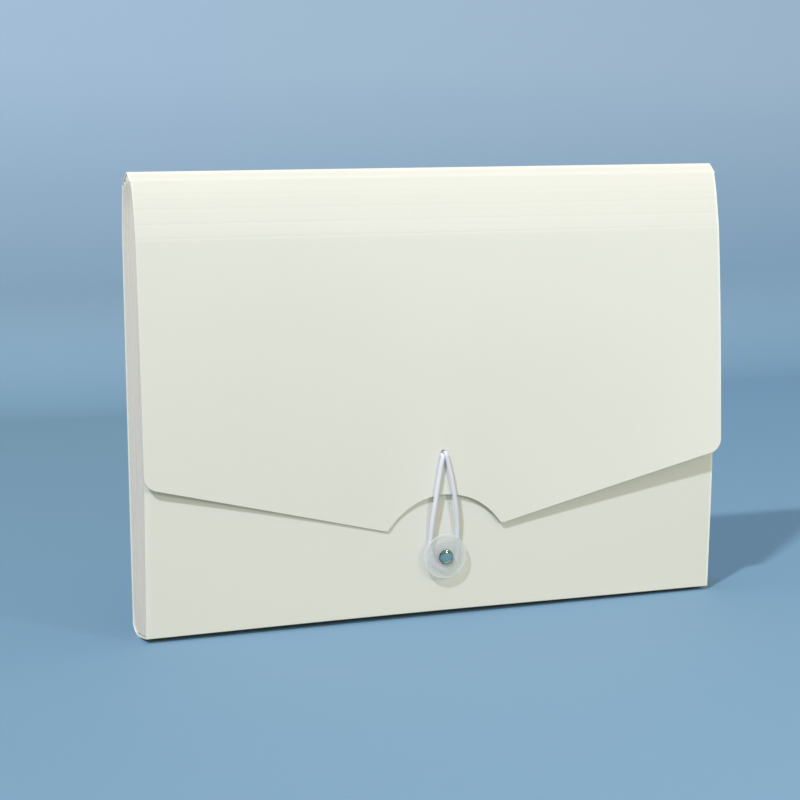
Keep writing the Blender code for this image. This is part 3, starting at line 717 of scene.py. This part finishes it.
def flapLowEdge(x):
    reach, arch, rise = abs(x), flapSize["archHalf"], flapSize["archRise"]
    low, corner, tip = flapSize["tipHeight"], flapSize["cornerRadius"], flapSize["tipRound"]
    radius = (arch ** 2 + rise ** 2) / (2 * rise)
    slope = math.atan2(flapSize["cornerHeight"] - low, folder["halfFlap"] - arch)
    centreX = folder["halfFlap"] - corner
    if reach <= arch:
        edge = low + rise - radius + math.sqrt(radius ** 2 - reach ** 2)
    elif reach <= centreX + corner * math.sin(slope):
        edge = low + (reach - arch) * math.tan(slope)
    else:
        centreZ = flapSize["cornerHeight"] + corner * math.tan((math.pi / 2 - slope) / 2)
        edge = centreZ - math.sqrt(max(corner ** 2 - (reach - centreX) ** 2, 0.0))
    return edge + tipLiftShare * tip * max(1 - abs(reach - arch) / tip, 0.0) ** 2


def swayAt(x, z):
    # the elastic pulls the flap's left side in, and its right side stands out
    across = shareOf(x, -folder["halfFlap"], folder["halfFlap"])
    return smoothTable(flapSway, across) * mm * shareOf(z, flapKnees[-1].y, flapLowEdge(x)) ** 1.5


def flapColumns():
    half, arch, corner = folder["halfFlap"], flapSize["archHalf"], flapSize["cornerRadius"]
    start, end = arch - flapSize["tipRound"], arch + flapSize["tipRound"]
    right = [flapSize["holePitch"]] + evenMarks(flapSize["holePitch"] * 2, start, flapSize["archStep"])
    right += evenMarks(start, end, flapSize["tipStep"])[1:]
    right += evenMarks(end, half - corner, flapSize["sideStep"])[1:]
    right += [half - corner * (1 - math.sin(math.pi / 2 * step / 14)) for step in range(1, 15)]
    even = [-place for place in reversed(right)] + [0.0] + right
    return [place + flapSize["holeSide"] * max(1 - abs(place) / start, 0.0) for place in even]


def cutHole(bm):
    # the grid's cells round the elastic's hole go, and a ring takes their place
    holeX, holeZ, pitch = flapSize["holeSide"], flapSize["holeHeight"], flapSize["holePitch"]

    def nearHole(vert, reach):
        return max(abs(vert.co.x - holeX), abs(vert.co.z - holeZ)) < reach

    middle = [vert for vert in bm.verts if nearHole(vert, 1.5 * pitch)]
    bmesh.ops.delete(bm, geom=middle, context="VERTS")
    rim = [edge for edge in bm.edges if len(edge.link_faces) == 1
           and all(nearHole(vert, holeRingShare * pitch) for vert in edge.verts)]
    made = bmesh.ops.create_circle(bm, cap_ends=False, segments=16, radius=flapSize["holeRadius"])
    for vert in made["verts"]:
        x, z = holeX + vert.co.x, holeZ + vert.co.y
        vert.co = Vector((x, flapY(x, z), z))
    ring = list({edge for vert in made["verts"] for edge in vert.link_edges})
    bmesh.ops.bridge_loops(bm, edges=rim + ring)


def makeFlap():
    pitch, score = flapSize["holePitch"], flapSize["scoreWidth"] / 2
    holeTop = flapSize["holeHeight"] + 2 * pitch
    # rows at one height above the hole, then shares of the way down to the lower edge
    levels = [flapCrease.y + halfSheet * 0.92, flapCrease.y - panelFinish["creaseRow"]]
    for knee in flapKnees[1:]:
        levels += evenMarks(levels[-1], knee.y + score, flapSize["rowStep"])[1:] + [knee.y, knee.y - score]
    levels += evenMarks(levels[-1], levels[-1] - 2 * flapSize["blend"], flapSize["rowStep"])[1:]
    levels += evenMarks(levels[-1], holeTop, flapSize["bodyStep"])[1:]
    shares = [pitch * step / (holeTop - flapLowEdge(0.0)) for step in range(1, 5)]
    shares += [shares[-1] + (1 - shares[-1]) * step / 8 for step in range(1, 8)] + [0.985, 1.0]
    rowCount = len(levels) + len(shares)
    top = flapCrease + (flapKnees[0] - flapKnees[1]).normalized() * halfSheet

    def place(x, row):
        index = rowCount - 1 - row
        if index == 0:
            return Vector((x, *top))
        if index < len(levels):
            z = levels[index]
        else:
            z = holeTop - shares[index - len(levels)] * (holeTop - flapLowEdge(x))
        return Vector((x, flapY(x, z), z))

    bm = sheetGrid(flapColumns(), rowCount, place)
    cutHole(bm)
    bmesh.ops.recalc_face_normals(bm, faces=bm.faces)
    flap = newObject(bm, "flapSheet")
    if sum(face.normal.y for face in flap.data.polygons) > 0:
        flap.data.flip_normals()
    thicken(flap, folder["sheet"])
    for vert in flap.data.vertices:
        x, y, z = vert.co
        scored = any(abs(z - knee.y) < flapSize["scoreNear"] for knee in flapKnees[1:])
        if scored and y < flapY(x, z) - halfSheet / 2:
            vert.co.y += flapSize["scoreDepth"]
        vert.co += swayAt(x, z) * swayShares
    finishEdges(flap, [top])
    # painted highlight on the side edges, far stronger on the right, partly edge whitening
    rims = [(folder["halfFlap"], 1.05 * mm, 0.95), (-folder["halfFlap"], 0.7 * mm, 0.3)]
    whitenAndHighlight(flap, [(flapCrease, 0.3)], rims, panelFinish["scoreReach"])
    flareRight(flap)
    dressCover(flap, "flap", ["flap"], 32.0)


makeFlap()
print("flap made")


# Gussets and dividers

inside = scaled({
    "recess": 0.5, "pleatDepth": 11.5, "filmSheet": 0.25, "innerRound": 0.15, "innerStart": 0.1,
    "outerStart": 0.3, "legStart": 1.2, "foldSways": (0.22, 0.16), "foldWhite": 0.9, "filmStep": 9.0,
    "gussetBottom": 5.6, "gussetTop": 226.5, "rearTop": 243.0, "frontTop": 238.3, "underRoof": 0.08,
    "rearReach": 1.0, "reachLow": 4.0, "reachHigh": 10.0, "roofReach": 2.35, "roofTaper": 1.25,
    "overBase": 0.35, "touch": 0.3, "dividerSheet": 0.35, "dividerBottom": 4.2, "dividerTop": 225.0,
    "dividerBevel": 0.06, "dividerWhite": 0.4, "dividerStep": 3.0, "bendStop": 1.0,
    "tabHeight": 8.0, "tabGap": 1.5, "tabMargin": 4.0, "tabCorner": 2.0, "sideGap": 0.35,
    "frontPocket": 2.4, "labelSheet": 0.2, "labelCorner": 0.7,
})
outerFoldShare = 0.335
dividerCount = 12
endRows = 4
halfDivider = folder["halfFront"] - inside["recess"] - inside["pleatDepth"] - inside["sideGap"]


def dividerY(number, z=0.0):
    rear = folder["backMid"] - halfSheet
    pitch = (rear - frontCrease.x - halfSheet - inside["frontPocket"]) / dividerCount
    return rear - pitch * number - backLean(z) * (1 - number / dividerCount)


def foldArc(x, y, radius, outerSide, steps=4):
    # a fold's round, from its rear leg to its front leg
    points = []
    for step in range(steps + 1):
        turn = math.pi * (0.5 - step / steps)
        side = radius - math.cos(turn) * radius
        points.append(Vector((x + side if outerSide else x - side, y + math.sin(turn) * radius)))
    return points


def gussetSection(z):
    # the pleats at one height as (distance in, y), from the back cover to the front cover
    clear = halfSheet + inside["touch"] + inside["filmSheet"] / 2
    back = folder["backMid"] - backLean(z) - clear
    front = frontCoverY(z) + clear
    depth, leg = inside["pleatDepth"], inside["legStart"]
    places = [dividerY(number, z) for number in range(1, dividerCount + 1)]
    pitch = places[0] - places[1]
    outer = pitch * outerFoldShare
    slow, quick = inside["foldSways"]
    points = [Vector((depth, back)), Vector((leg, back))] + foldArc(0.0, back - outer, outer, True)[1:]
    for number, place in enumerate(places, 1):
        points += foldArc(depth - inside["innerStart"], place, inside["innerRound"], False)
        if number < dividerCount:
            sway = slow * math.sin(2.3 * number + z * 21.0) + quick * math.sin(5.1 * number + 1.0)
            points += foldArc(inside["outerStart"] + sway, place - pitch / 2, outer, True)
    points += foldArc(0.0, front + outer, outer, True)[:-1]
    return points + [Vector((leg, front)), Vector((depth, front))]


def gussetTop(y):
    # the film ends just under the roof
    share = shareOf(y, frontCrease.x, rearCrease.x)
    top = inside["frontTop"] + (inside["rearTop"] - inside["frontTop"]) * (1 - (1 - share) ** 2)
    end = rearCrease if y > ridge.x else flapCrease
    roof = ridge.y + (end.y - ridge.y) * (y - ridge.x) / (end.x - ridge.x)
    return min(top, roof - halfSheet - inside["underRoof"])


def gussetFloor(y):
    # the film follows the inside of the base, its rear corner and its front lip
    turn = folder["backTurn"]
    middle = folder["backMid"] - turn
    inner = turn - halfSheet - inside["overBase"]
    if y > middle:
        return halfSheet + turn - math.sqrt(max(inner ** 2 - (y - middle) ** 2, 0.0))
    return folder["sheet"] + inside["overBase"] + baseRise(-folder["halfFront"], y)


def filmPoint(point, level, down, up):
    # where a pleat's point stands, by its share of the way down to the base or up into the roof
    y, z = point.y, level
    if down:
        z += (gussetFloor(y) - level) * down
    if up:
        share = shareOf(y, frontCrease.x, rearCrease.x)
        top = gussetTop(y - (backLean(rearCrease.y) - backLean(level)) * share)
        z += (top - level) * up
        y -= (backLean(z) - backLean(level)) * share
        y = max(y, flapY(0.0, min(z, flapCrease.y)) + halfSheet + inside["touch"])
    reach = inside["rearReach"] * shareOf(point.y, frontCrease.x, folder["backMid"]) ** 1.5
    reach *= shareOf(z, inside["reachLow"], inside["reachHigh"])
    # the film spreads out to the roof's own side edges
    edge = inside["roofReach"] - inside["roofTaper"] * shareOf(y, ridge.x, rearCrease.x) ** 2
    return point.x - reach - (edge - reach) * up, y, z


def makeGusset(name, node, side):
    outer = folder["halfFront"] - inside["recess"]
    levels = evenMarks(inside["gussetBottom"], inside["gussetTop"], inside["filmStep"])
    sections = []
    for index in range(-endRows, len(levels) + endRows):
        level = levels[min(max(index, 0), len(levels) - 1)]
        down, up = max(-index, 0) / endRows, max(index - len(levels) + 1, 0) / endRows
        sections.append([filmPoint(point, level, down, up) for point in gussetSection(level)])

    def place(column, row):
        inward, y, z = sections[row][column]
        return Vector((side * (outer - inward), y, z))

    bm = sheetGrid(range(len(sections[0])), len(sections), place)
    bmesh.ops.recalc_face_normals(bm, faces=bm.faces)
    film = newObject(bm, name)
    thicken(film, inside["filmSheet"], False)

    # white at the outer folds, and painted light that makes the film lighter towards the top
    def whiteShare(spot):
        inward = (outer - abs(spot.x)) / inside["foldWhite"]
        return 0.3 * math.exp(-(inward ** 2)) + 0.4 * (spot.z / ridge.y) ** 2

    paint(film, "whiteAndHighlight", whiteShare)
    dressed(film, [gussetFilm], None, [node])
    film.data.shade_smooth()
    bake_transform(film)


def makeDivider(number):
    reach = halfDivider - inside["tabMargin"]
    width = 2 * reach / dividerCount
    left = -reach + width * (dividerCount - number) + inside["tabGap"] / 2
    right = left + width - inside["tabGap"]
    bottom, top = inside["dividerBottom"], inside["dividerTop"]
    tabTop, corner = top + inside["tabHeight"], inside["tabCorner"]
    outline = [(-halfDivider, bottom), (halfDivider, bottom), (halfDivider, top), (right, top)]
    outline += roundedCorner(right - corner, tabTop - corner, corner, 0, 90, 5)
    outline += roundedCorner(left + corner, tabTop - corner, corner, 90, 180, 5)
    outline += [(left, top), (-halfDivider, top)]
    bm = bmesh.new()
    bm.faces.new([bm.verts.new((x, 0.0, z)) for x, z in outline])
    bendStart = rearCrease.y - folder["leanReach"]
    for height in evenMarks(bendStart, tabTop - inside["bendStop"], inside["dividerStep"]):
        pieces = bm.verts[:] + bm.edges[:] + bm.faces[:]
        bmesh.ops.bisect_plane(bm, geom=pieces, plane_co=(0, 0, height), plane_no=(0, 0, 1), dist=1e-6)
    bmesh.ops.recalc_face_normals(bm, faces=bm.faces)
    for vert in bm.verts:
        vert.co.y = dividerY(number, vert.co.z)
    sheet = newObject(bm, f"dividerSheet{number:02d}")
    thicken(sheet, inside["dividerSheet"])
    roundEdges(sheet, lambda middle, direction: True, inside["dividerBevel"], 2)

    def whiteShare(place):
        edge = min(abs(abs(place.x) - halfDivider), abs(place.z - top))
        return 0.5 * math.exp(-((edge / inside["dividerWhite"]) ** 2))

    paint(sheet, "whiteAndHighlight", whiteShare)
    body = f"divider_{number:02d}"
    dressed(sheet, [dividerPlastic, dividerPlastic], body, [body])
    smoothShade(sheet)


def makeSlip(number):
    # the paper slip bends with its tab
    node = f"tab_label_{number:02d}"
    low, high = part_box(node)
    size = (high.x - low.x, inside["labelSheet"], high.z - low.z)
    bm = roundedPlate(size, inside["labelCorner"], 4)
    centre = (low + high) / 2
    bmesh.ops.translate(bm, verts=bm.verts, vec=centre)
    label = newObject(bm, f"tabSlip{number:02d}")
    for vert in label.data.vertices:
        vert.co.y += dividerY(number, vert.co.z) - dividerY(number, centre.z)
    dressed(label, [labelPaper], f"divider_{number:02d}", [node])


def makeBottomGusset():
    # the CAD film with its lower folds raised over the arched base
    film = linked("bottomGussetFilm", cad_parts["bottom_gusset"].data.copy())
    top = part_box("bottom_gusset")[1].z
    lipY, lipZ = folder["baseLip"]
    for vert in film.data.vertices:
        x, y, z = vert.co
        lip = (frontCrease.y - lipZ) * max((lipY - y) / (lipY - frontCrease.x), 0.0)
        vert.co.z += max(baseRise(x, y) - lip, 0.0) * shareOf(z, top, folder["sheet"])
    dressed(film, [gussetFilm], "pocket_block", ["bottom_gusset"])


makeGusset("leftGussetFilm", "left_gusset", -1.0)
makeGusset("rightGussetFilm", "right_gusset", 1.0)
for number in range(1, dividerCount + 1):
    makeDivider(number)
    makeSlip(number)
makeBottomGusset()
print("gussets and dividers made")


# Button: the outlines hold (radius, height over the front cover) in millimetres

buttonHeight = 34.4 * mm
buttonOutlines = {
    "disc": [
        (1.9, 4.15), (2.1, 4.36), (9.0, 4.40), (11.3, 4.38),
        *roundedCorner(11.95, 3.85, 0.53, 90, 0, 6), *roundedCorner(12.02, 3.66, 0.46, 0, -90, 6),
        (10.6, 3.2), (5.4, 3.22), (2.1, 3.2), (1.9, 3.35),
    ],
    "spacer": [(1.95, 2.9), (4.2, 2.9), (4.5, 2.7), (4.5, 0.5), (4.3, 0.3), (1.95, 0.3)],
    "rivet": [
        (0.0, 5.70), (1.5, 5.68), (2.4, 5.64), (2.72, 5.58), (2.9, 5.46), (3.05, 5.46), (3.15, 5.56),
        *roundedCorner(3.34, 4.98, 0.66, 95, 0, 8), *roundedCorner(3.70, 4.98, 0.28, -15, -90, 4),
        (1.6, 4.7), (1.6, -1.8), (1.75, -1.9), (2.6, -1.92), (2.8, -2.05), (2.75, -2.2), (2.4, -2.3),
        (1.2, -2.3), (1.0, -1.7), (0.0, -1.7),
    ],
    "washer": [(1.85, -1.15), (4.5, -1.1), (4.6, -1.2), (4.6, -1.5), (4.45, -1.6), (2.2, -1.6), (1.85, -1.5)],
}
rimBand = (11.4, 12.4)
# radii over which the rivet head's rim turns to painted dark reflection
paintedRimShadeBand = (3.55, 3.85)


def buttonFrame():
    # stands on the lowest stretch of the front cover, with Z outwards
    share, bow = frontBowShares[1]
    rise = Vector((-folder["frontBow"] * bow, folder["frontHeight"] * share))
    outward = Vector((0.0, -rise.y, rise.x)).normalized()
    foot = frontCrease + rise * (buttonHeight - frontCrease.y) / rise.y
    face = Vector((0.0, *foot)) + outward * halfSheet
    return Matrix.Translation(face) @ Matrix.Rotation(math.atan2(-outward.y, outward.z), 4, "X")


def spun(name, outline, steps, material, body, node, closed=True):
    # turns an outline, given from the top outwards and down, about the button's axis
    bm = bmesh.new()
    verts = [bm.verts.new((radius * mm, 0.0, height * mm)) for radius, height in outline]
    edges = [bm.edges.new(pair) for pair in zip(verts[:-1], verts[1:])]
    if closed:
        edges.append(bm.edges.new((verts[-1], verts[0])))
    bmesh.ops.spin(
        bm, geom=verts + edges, cent=(0, 0, 0), axis=(0, 0, 1), angle=math.tau,
        steps=steps, use_merge=True, use_duplicate=False,
    )
    bmesh.ops.remove_doubles(bm, verts=bm.verts, dist=1e-7)
    bmesh.ops.recalc_face_normals(bm, faces=bm.faces)
    bmesh.ops.transform(bm, matrix=buttonFrame(), verts=bm.verts)
    obj = newObject(bm, name)
    smoothShade(obj, 40.0)
    dressed(obj, [material], body, [node])
    return obj


def paintBand(obj, name, band):
    # a value that grows across a band of radii round the button's axis
    centre = buttonFrame().inverted()
    paint(obj, name, lambda place: shareOf((centre @ place).xy.length / mm, *band))


def makeButton():
    lines = buttonOutlines
    disc = spun("buttonDisc", lines["disc"], 96, discPlastic, "button", "button_disc")
    paintBand(disc, "rim", rimBand)
    spun("buttonSpacer", lines["spacer"], 64, discPlastic, "front_cover", "button_spacer")
    rivet = spun("rivetHead", lines["rivet"], 64, nickelPlate, "front_cover", "rivet", False)
    # marks the rim band that gets the painted dark reflection
    paintBand(rivet, "groove", paintedRimShadeBand)
    spun("rivetWasher", lines["washer"], 48, nickelPlate, "front_cover", "rivet_washer")


makeButton()
print("button made")


# Elastic

elasticSize = scaled({
    "diameter": 2.6, "strandGap": -0.5, "behindDisc": 1.75, "squeezeReach": 4.0,
    "tagLength": 10.0, "tagHeight": 3.0, "tagThickness": 0.45, "tagCorner": 1.2, "tagBevel": 0.1,
    "leftRise": -0.45, "rightRise": 0.75, "braidPitch": 3.4, "relief": 0.13, "ringStep": 0.19,
})
loopRoute = (
    (-8.0, 8.5), (-7.8, 3.4), (-6.7, -1.4), (-4.6, -5.2), (-1.5, -7.2),
    (2.1, -7.2), (5.3, -5.2), (7.3, -1.6), (7.9, 3.2), (7.7, 9.5),
)
onFlapShares = (0.0, 0.27, 0.76)
belowArchShares = (0.28, 0.7)
holeSqueeze = 0.2
dropPower = 1.3
spreadPower = 1.5
bundleCount = 12
braidShares = {"flat": 0.45, "crossing": 0.55, "under": 0.56, "middle": 0.8}


def elasticRoute():
    # from the hole in the flap down the left strand, round behind the disc and up the right one
    place = buttonFrame()
    upright = place.to_3x3().col[1].z
    radius = elasticSize["diameter"] / 2
    around = [place @ Vector((x * mm, z * mm / upright, elasticSize["behindDisc"])) for x, z in loopRoute]
    archTop = flapSize["tipHeight"] + flapSize["archRise"]
    holeY = flapY(flapSize["holeSide"], flapSize["holeHeight"])
    strands = []
    for side, rise, end in ((-1, "leftRise", around[0]), (1, "rightRise", around[-1])):
        holeX = flapSize["holeSide"] + side * (radius + elasticSize["strandGap"] / 2)
        exitZ = flapSize["holeHeight"] + elasticSize[rise]
        points = [Vector((holeX, holeY + offset, exitZ)) for offset in (halfSheet, 0.0, -halfSheet)]
        top = exitZ - radius
        heights = [top + (archTop - top) * share for share in onFlapShares]
        heights += [archTop + (end.z - archTop) * share for share in belowArchShares]
        for z in heights:
            x = holeX + (end.x - holeX) * (1 - ((z - end.z) / (top - end.z)) ** spreadPower)
            level = max(z, archTop)
            outside = flapY(x, level) + swayAt(x, level) - halfSheet - radius - inside["touch"]
            free = shareOf(z, archTop, end.z)
            points.append(Vector((x, outside + (end.y - outside) * free ** dropPower, z)))
        strands.append(points)
    return strands[0] + around + strands[1][::-1]


def smoothRoute(points, steps):
    route = []
    for index in range(len(points) - 1):
        start, end = points[index], points[index + 1]
        before, after = points[max(index - 1, 0)], points[min(index + 2, len(points) - 1)]
        bend = 2 * before - 5 * start + 4 * end - after
        twist = 3 * start - before - 3 * end + after
        for t in (step / steps for step in range(steps)):
            route.append(0.5 * (2 * start + (end - before) * t + bend * t ** 2 + twist * t ** 3))
    return route + [points[-1]]


def evenRoute(points, step):
    # the same route with its points the same distance apart
    lengths = [0.0]
    for a, b in zip(points[:-1], points[1:]):
        lengths.append(lengths[-1] + (b - a).length)
    count = round(lengths[-1] / step)
    route, index = [], 0
    for number in range(count + 1):
        mark = lengths[-1] * number / count
        while index < len(points) - 2 and lengths[index + 1] < mark:
            index += 1
        route.append(points[index].lerp(points[index + 1], shareOf(mark, lengths[index], lengths[index + 1])))
    return route, lengths[-1]


def bundleHeight(around, along):
    # an over-one-under-one braid: two sets of bundles wind opposite ways and take turns on top
    turns = along / elasticSize["braidPitch"]
    first, second = (around + turns) * bundleCount / 2, (around - turns) * bundleCount / 2
    crowns = [math.sin(math.pi * (place % 1.0)) for place in (first, second)]
    over = (math.floor(first) + math.floor(second)) % 2  # which of the two is on top
    top = crowns[over] * (braidShares["flat"] + braidShares["crossing"] * crowns[1])
    return max(top, crowns[1 - over] * braidShares["under"])


def makeLoop():
    route, length = evenRoute(smoothRoute(elasticRoute(), 24), elasticSize["ringStep"])
    radius = elasticSize["diameter"] / 2
    curve = bpy.data.curves.new("elasticLoop", "CURVE")
    curve.dimensions = "3D"
    curve.bevel_depth = radius
    curve.bevel_resolution = 10
    curve.use_fill_caps = True
    spline = curve.splines.new("POLY")
    spline.points.add(len(route) - 1)
    for point, place in zip(spline.points, route):
        point.co = (*place, 1.0)
    guide = linked("elasticGuide", curve)
    mesh = shownMesh(guide)
    bpy.data.objects.remove(guide, do_unlink=True)
    mesh.name = "elasticLoop"
    loop = linked("elasticLoop", mesh)

    sides = 2 * (curve.bevel_resolution + 2)
    step = length / (len(route) - 1)
    heights = mesh.attributes.new("bundleHeight", "FLOAT", "POINT")
    for ring, centre in enumerate(route):
        fromEnd = min(ring, len(route) - 1 - ring) * step / elasticSize["squeezeReach"]
        tight = 1.0 - holeSqueeze * math.exp(-(fromEnd ** 2))
        for side in range(sides):
            index = ring * sides + side
            lift = bundleHeight(side / sides, ring * step)
            heights.data[index].value = lift
            vert = mesh.vertices[index]
            thick = (radius + elasticSize["relief"] * (lift - braidShares["middle"])) * tight
            vert.co = centre + (vert.co - centre).normalized() * thick
    mesh.shade_smooth()
    dressed(loop, [elasticYarn], "flap", ["elastic_loop"])
    print(f"elastic: {length / mm:.0f} mm, {len(route)} rings of {sides}, {len(mesh.vertices)} points")


def makeTag():
    x, thickness, z = flapSize["holeSide"], elasticSize["tagThickness"], flapSize["holeHeight"]
    size = (elasticSize["tagLength"], thickness, elasticSize["tagHeight"])
    bm = roundedPlate(size, elasticSize["tagCorner"], 5)
    rims = [edge for edge in bm.edges if edge.calc_face_angle() > 0.9]
    bevelEdges(bm, rims, elasticSize["tagBevel"], 2)
    y = flapY(x, z) + halfSheet + inside["touch"] + thickness / 2
    bmesh.ops.translate(bm, verts=bm.verts, vec=(x, y, z))
    tag = newObject(bm, "elasticTag")
    dressed(tag, [tagPlastic], "flap", ["elastic_tag"])
    smoothShade(tag)


makeLoop()
makeTag()


# Studio

studio = {
    "wallDistance": 0.9, "join": 0.12, "halfWidth": 4.0, "front": (-3.0, -1.0), "wallTop": 3.0,
    "floorColour": (0.195, 0.355, 0.545), "wallColour": (0.43, 0.595, 0.885), "wallFrom": 0.35,
    # shadeGlow and shadePaper paint the colour of the folder's cast shadow on the floor to the right
    "bounceColour": (0.25, 0.32, 0.30), "shadeGlow": (0.0, 0.03, 0.15), "shadePaper": (1.0, 0.94, 0.74),
    "worldColour": (1.0, 0.90, 0.57), "worldStrength": 0.58, "glossyLow": 0.12, "glossyHigh": 1.3,
    "lampTarget": (0.0, -0.01, 0.12),
}
lamps = {
    "keyLamp": {
        "from": (-0.99, -1.0, 1.36), "distance": 6.0, "size": 0.3,
        "power": 252.0, "colour": (0.84, 0.90, 1.03),
    },
    "fillLamp": {
        "from": (0.45, -1.0, 0.35), "distance": 1.0, "size": 0.1,
        "power": 1.9, "colour": (1.0, 1.0, 1.0),
    },
}


def makePaper():
    material, tree, shader, vector = newMaterial("palePaper")
    split = tree.nodes.new("ShaderNodeSeparateXYZ")
    tree.links.new(vector, split.inputs[0])
    rise = mapNode(tree, split.outputs["Z"], 0.0, studio["wallFrom"], 0.0, 1.0)
    paper = mixColour(tree, rise, studio["floorColour"], studio["wallColour"])
    tone = mapNode(tree, noiseNode(tree, vector, 500.0, 2.0), 0.3, 0.7, 0.0, 0.04)
    paper = mixColour(tree, tone, paper, (0.3, 0.35, 0.4))
    path = tree.nodes.new("ShaderNodeLightPath")
    seen = mathNode(tree, "ADD", path.outputs["Is Camera Ray"], path.outputs["Is Glossy Ray"])
    seen = mathNode(tree, "ADD", seen, path.outputs["Is Transmission Ray"], clamp=True)
    # painted shadow colour: where the folder's shadow falls to the right, the paper is dimmed and given a
    # faint blue glow that camera, glossy and transmission rays see
    shadowGlowMask = mapNode(tree, split.outputs["X"], 0.165, 0.19, 0.0, 1.0)
    paper = mixColour(tree, shadowGlowMask, paper, studio["shadePaper"], "MULTIPLY")
    shader.inputs["Emission Color"].default_value = (*studio["shadeGlow"], 1.0)
    tree.links.new(mathNode(tree, "MULTIPLY", shadowGlowMask, seen), shader.inputs["Emission Strength"])
    tree.links.new(mixColour(tree, seen, studio["bounceColour"], paper), shader.inputs["Base Color"])
    shader.inputs["Roughness"].default_value = 0.7
    return material


def makeBackdrop():
    # floor and wall in one sheet with a round join
    wall, join = studio["wallDistance"], studio["join"]
    rows = [(y, 0.0) for y in studio["front"]] + roundedCorner(wall, join, join, -90, 0, 16)
    rows.append((wall + join, studio["wallTop"]))
    bm = bmesh.new()
    verts = [bm.verts.new((-studio["halfWidth"], y, z)) for y, z in rows]
    edges = [bm.edges.new(pair) for pair in zip(verts[:-1], verts[1:])]
    swept = bmesh.ops.extrude_edge_only(bm, edges=edges)
    moved = [item for item in swept["geom"] if isinstance(item, bmesh.types.BMVert)]
    bmesh.ops.translate(bm, verts=moved, vec=(2 * studio["halfWidth"], 0, 0))
    bmesh.ops.recalc_face_normals(bm, faces=bm.faces)
    backdrop = newObject(bm, "backdrop")
    backdrop.data.shade_smooth()
    backdrop.data.materials.append(makePaper())


def makeSky():
    world = bpy.data.worlds.new("studioSky")
    world.use_nodes = True
    tree, strength = world.node_tree, studio["worldStrength"]
    background = tree.nodes["Background"]
    background.inputs["Color"].default_value = (*studio["worldColour"], 1.0)
    # metal sees a dark room with a bright ceiling
    ways = tree.nodes.new("ShaderNodeSeparateXYZ")
    tree.links.new(tree.nodes.new("ShaderNodeTexCoord").outputs["Generated"], ways.inputs[0])
    room = mapNode(tree, ways.outputs["Z"], 0.35, 0.55, studio["glossyLow"], studio["glossyHigh"])
    glossy = tree.nodes.new("ShaderNodeLightPath").outputs["Is Glossy Ray"]
    extra = mathNode(tree, "MULTIPLY", mathNode(tree, "SUBTRACT", room, strength), glossy)
    tree.links.new(mathNode(tree, "ADD", extra, strength), background.inputs["Strength"])
    bpy.context.scene.world = world


def makeLamps():
    for name, look in lamps.items():
        away = Vector(look["from"]).normalized()
        lamp = bpy.data.lights.new(name, "AREA")
        lamp.shape = "SQUARE"
        lamp.size = look["size"]
        lamp.energy = look["power"]
        lamp.color = look["colour"]
        holder = linked(name, lamp)
        holder.location = Vector(studio["lampTarget"]) + away * look["distance"]
        holder.rotation_euler = (-away).to_track_quat("-Z", "Y").to_euler()


def makeCamera():
    view = {
        "lens": 87.12, "yaw": 0.3563, "pitch": 0.12267, "roll": -0.010876,
        "place": (-0.38279, -0.97435, 0.24741),
    }
    lens = bpy.data.cameras.new("photoCamera")
    lens.lens = view["lens"]
    lens.sensor_width = 36.0
    lens.clip_start = 0.01
    camera = linked("photoCamera", lens)
    camera.matrix_world = Matrix.Translation(view["place"])
    for axis, turn in (("Z", -view["yaw"]), ("X", math.pi / 2 - view["pitch"]), ("Z", view["roll"])):
        camera.matrix_world @= Matrix.Rotation(turn, 4, axis)
    bpy.context.scene.camera = camera


makeBackdrop()
makeSky()
makeLamps()
makeCamera()
bpy.context.scene.view_settings.view_transform = "Standard"
print("studio made")
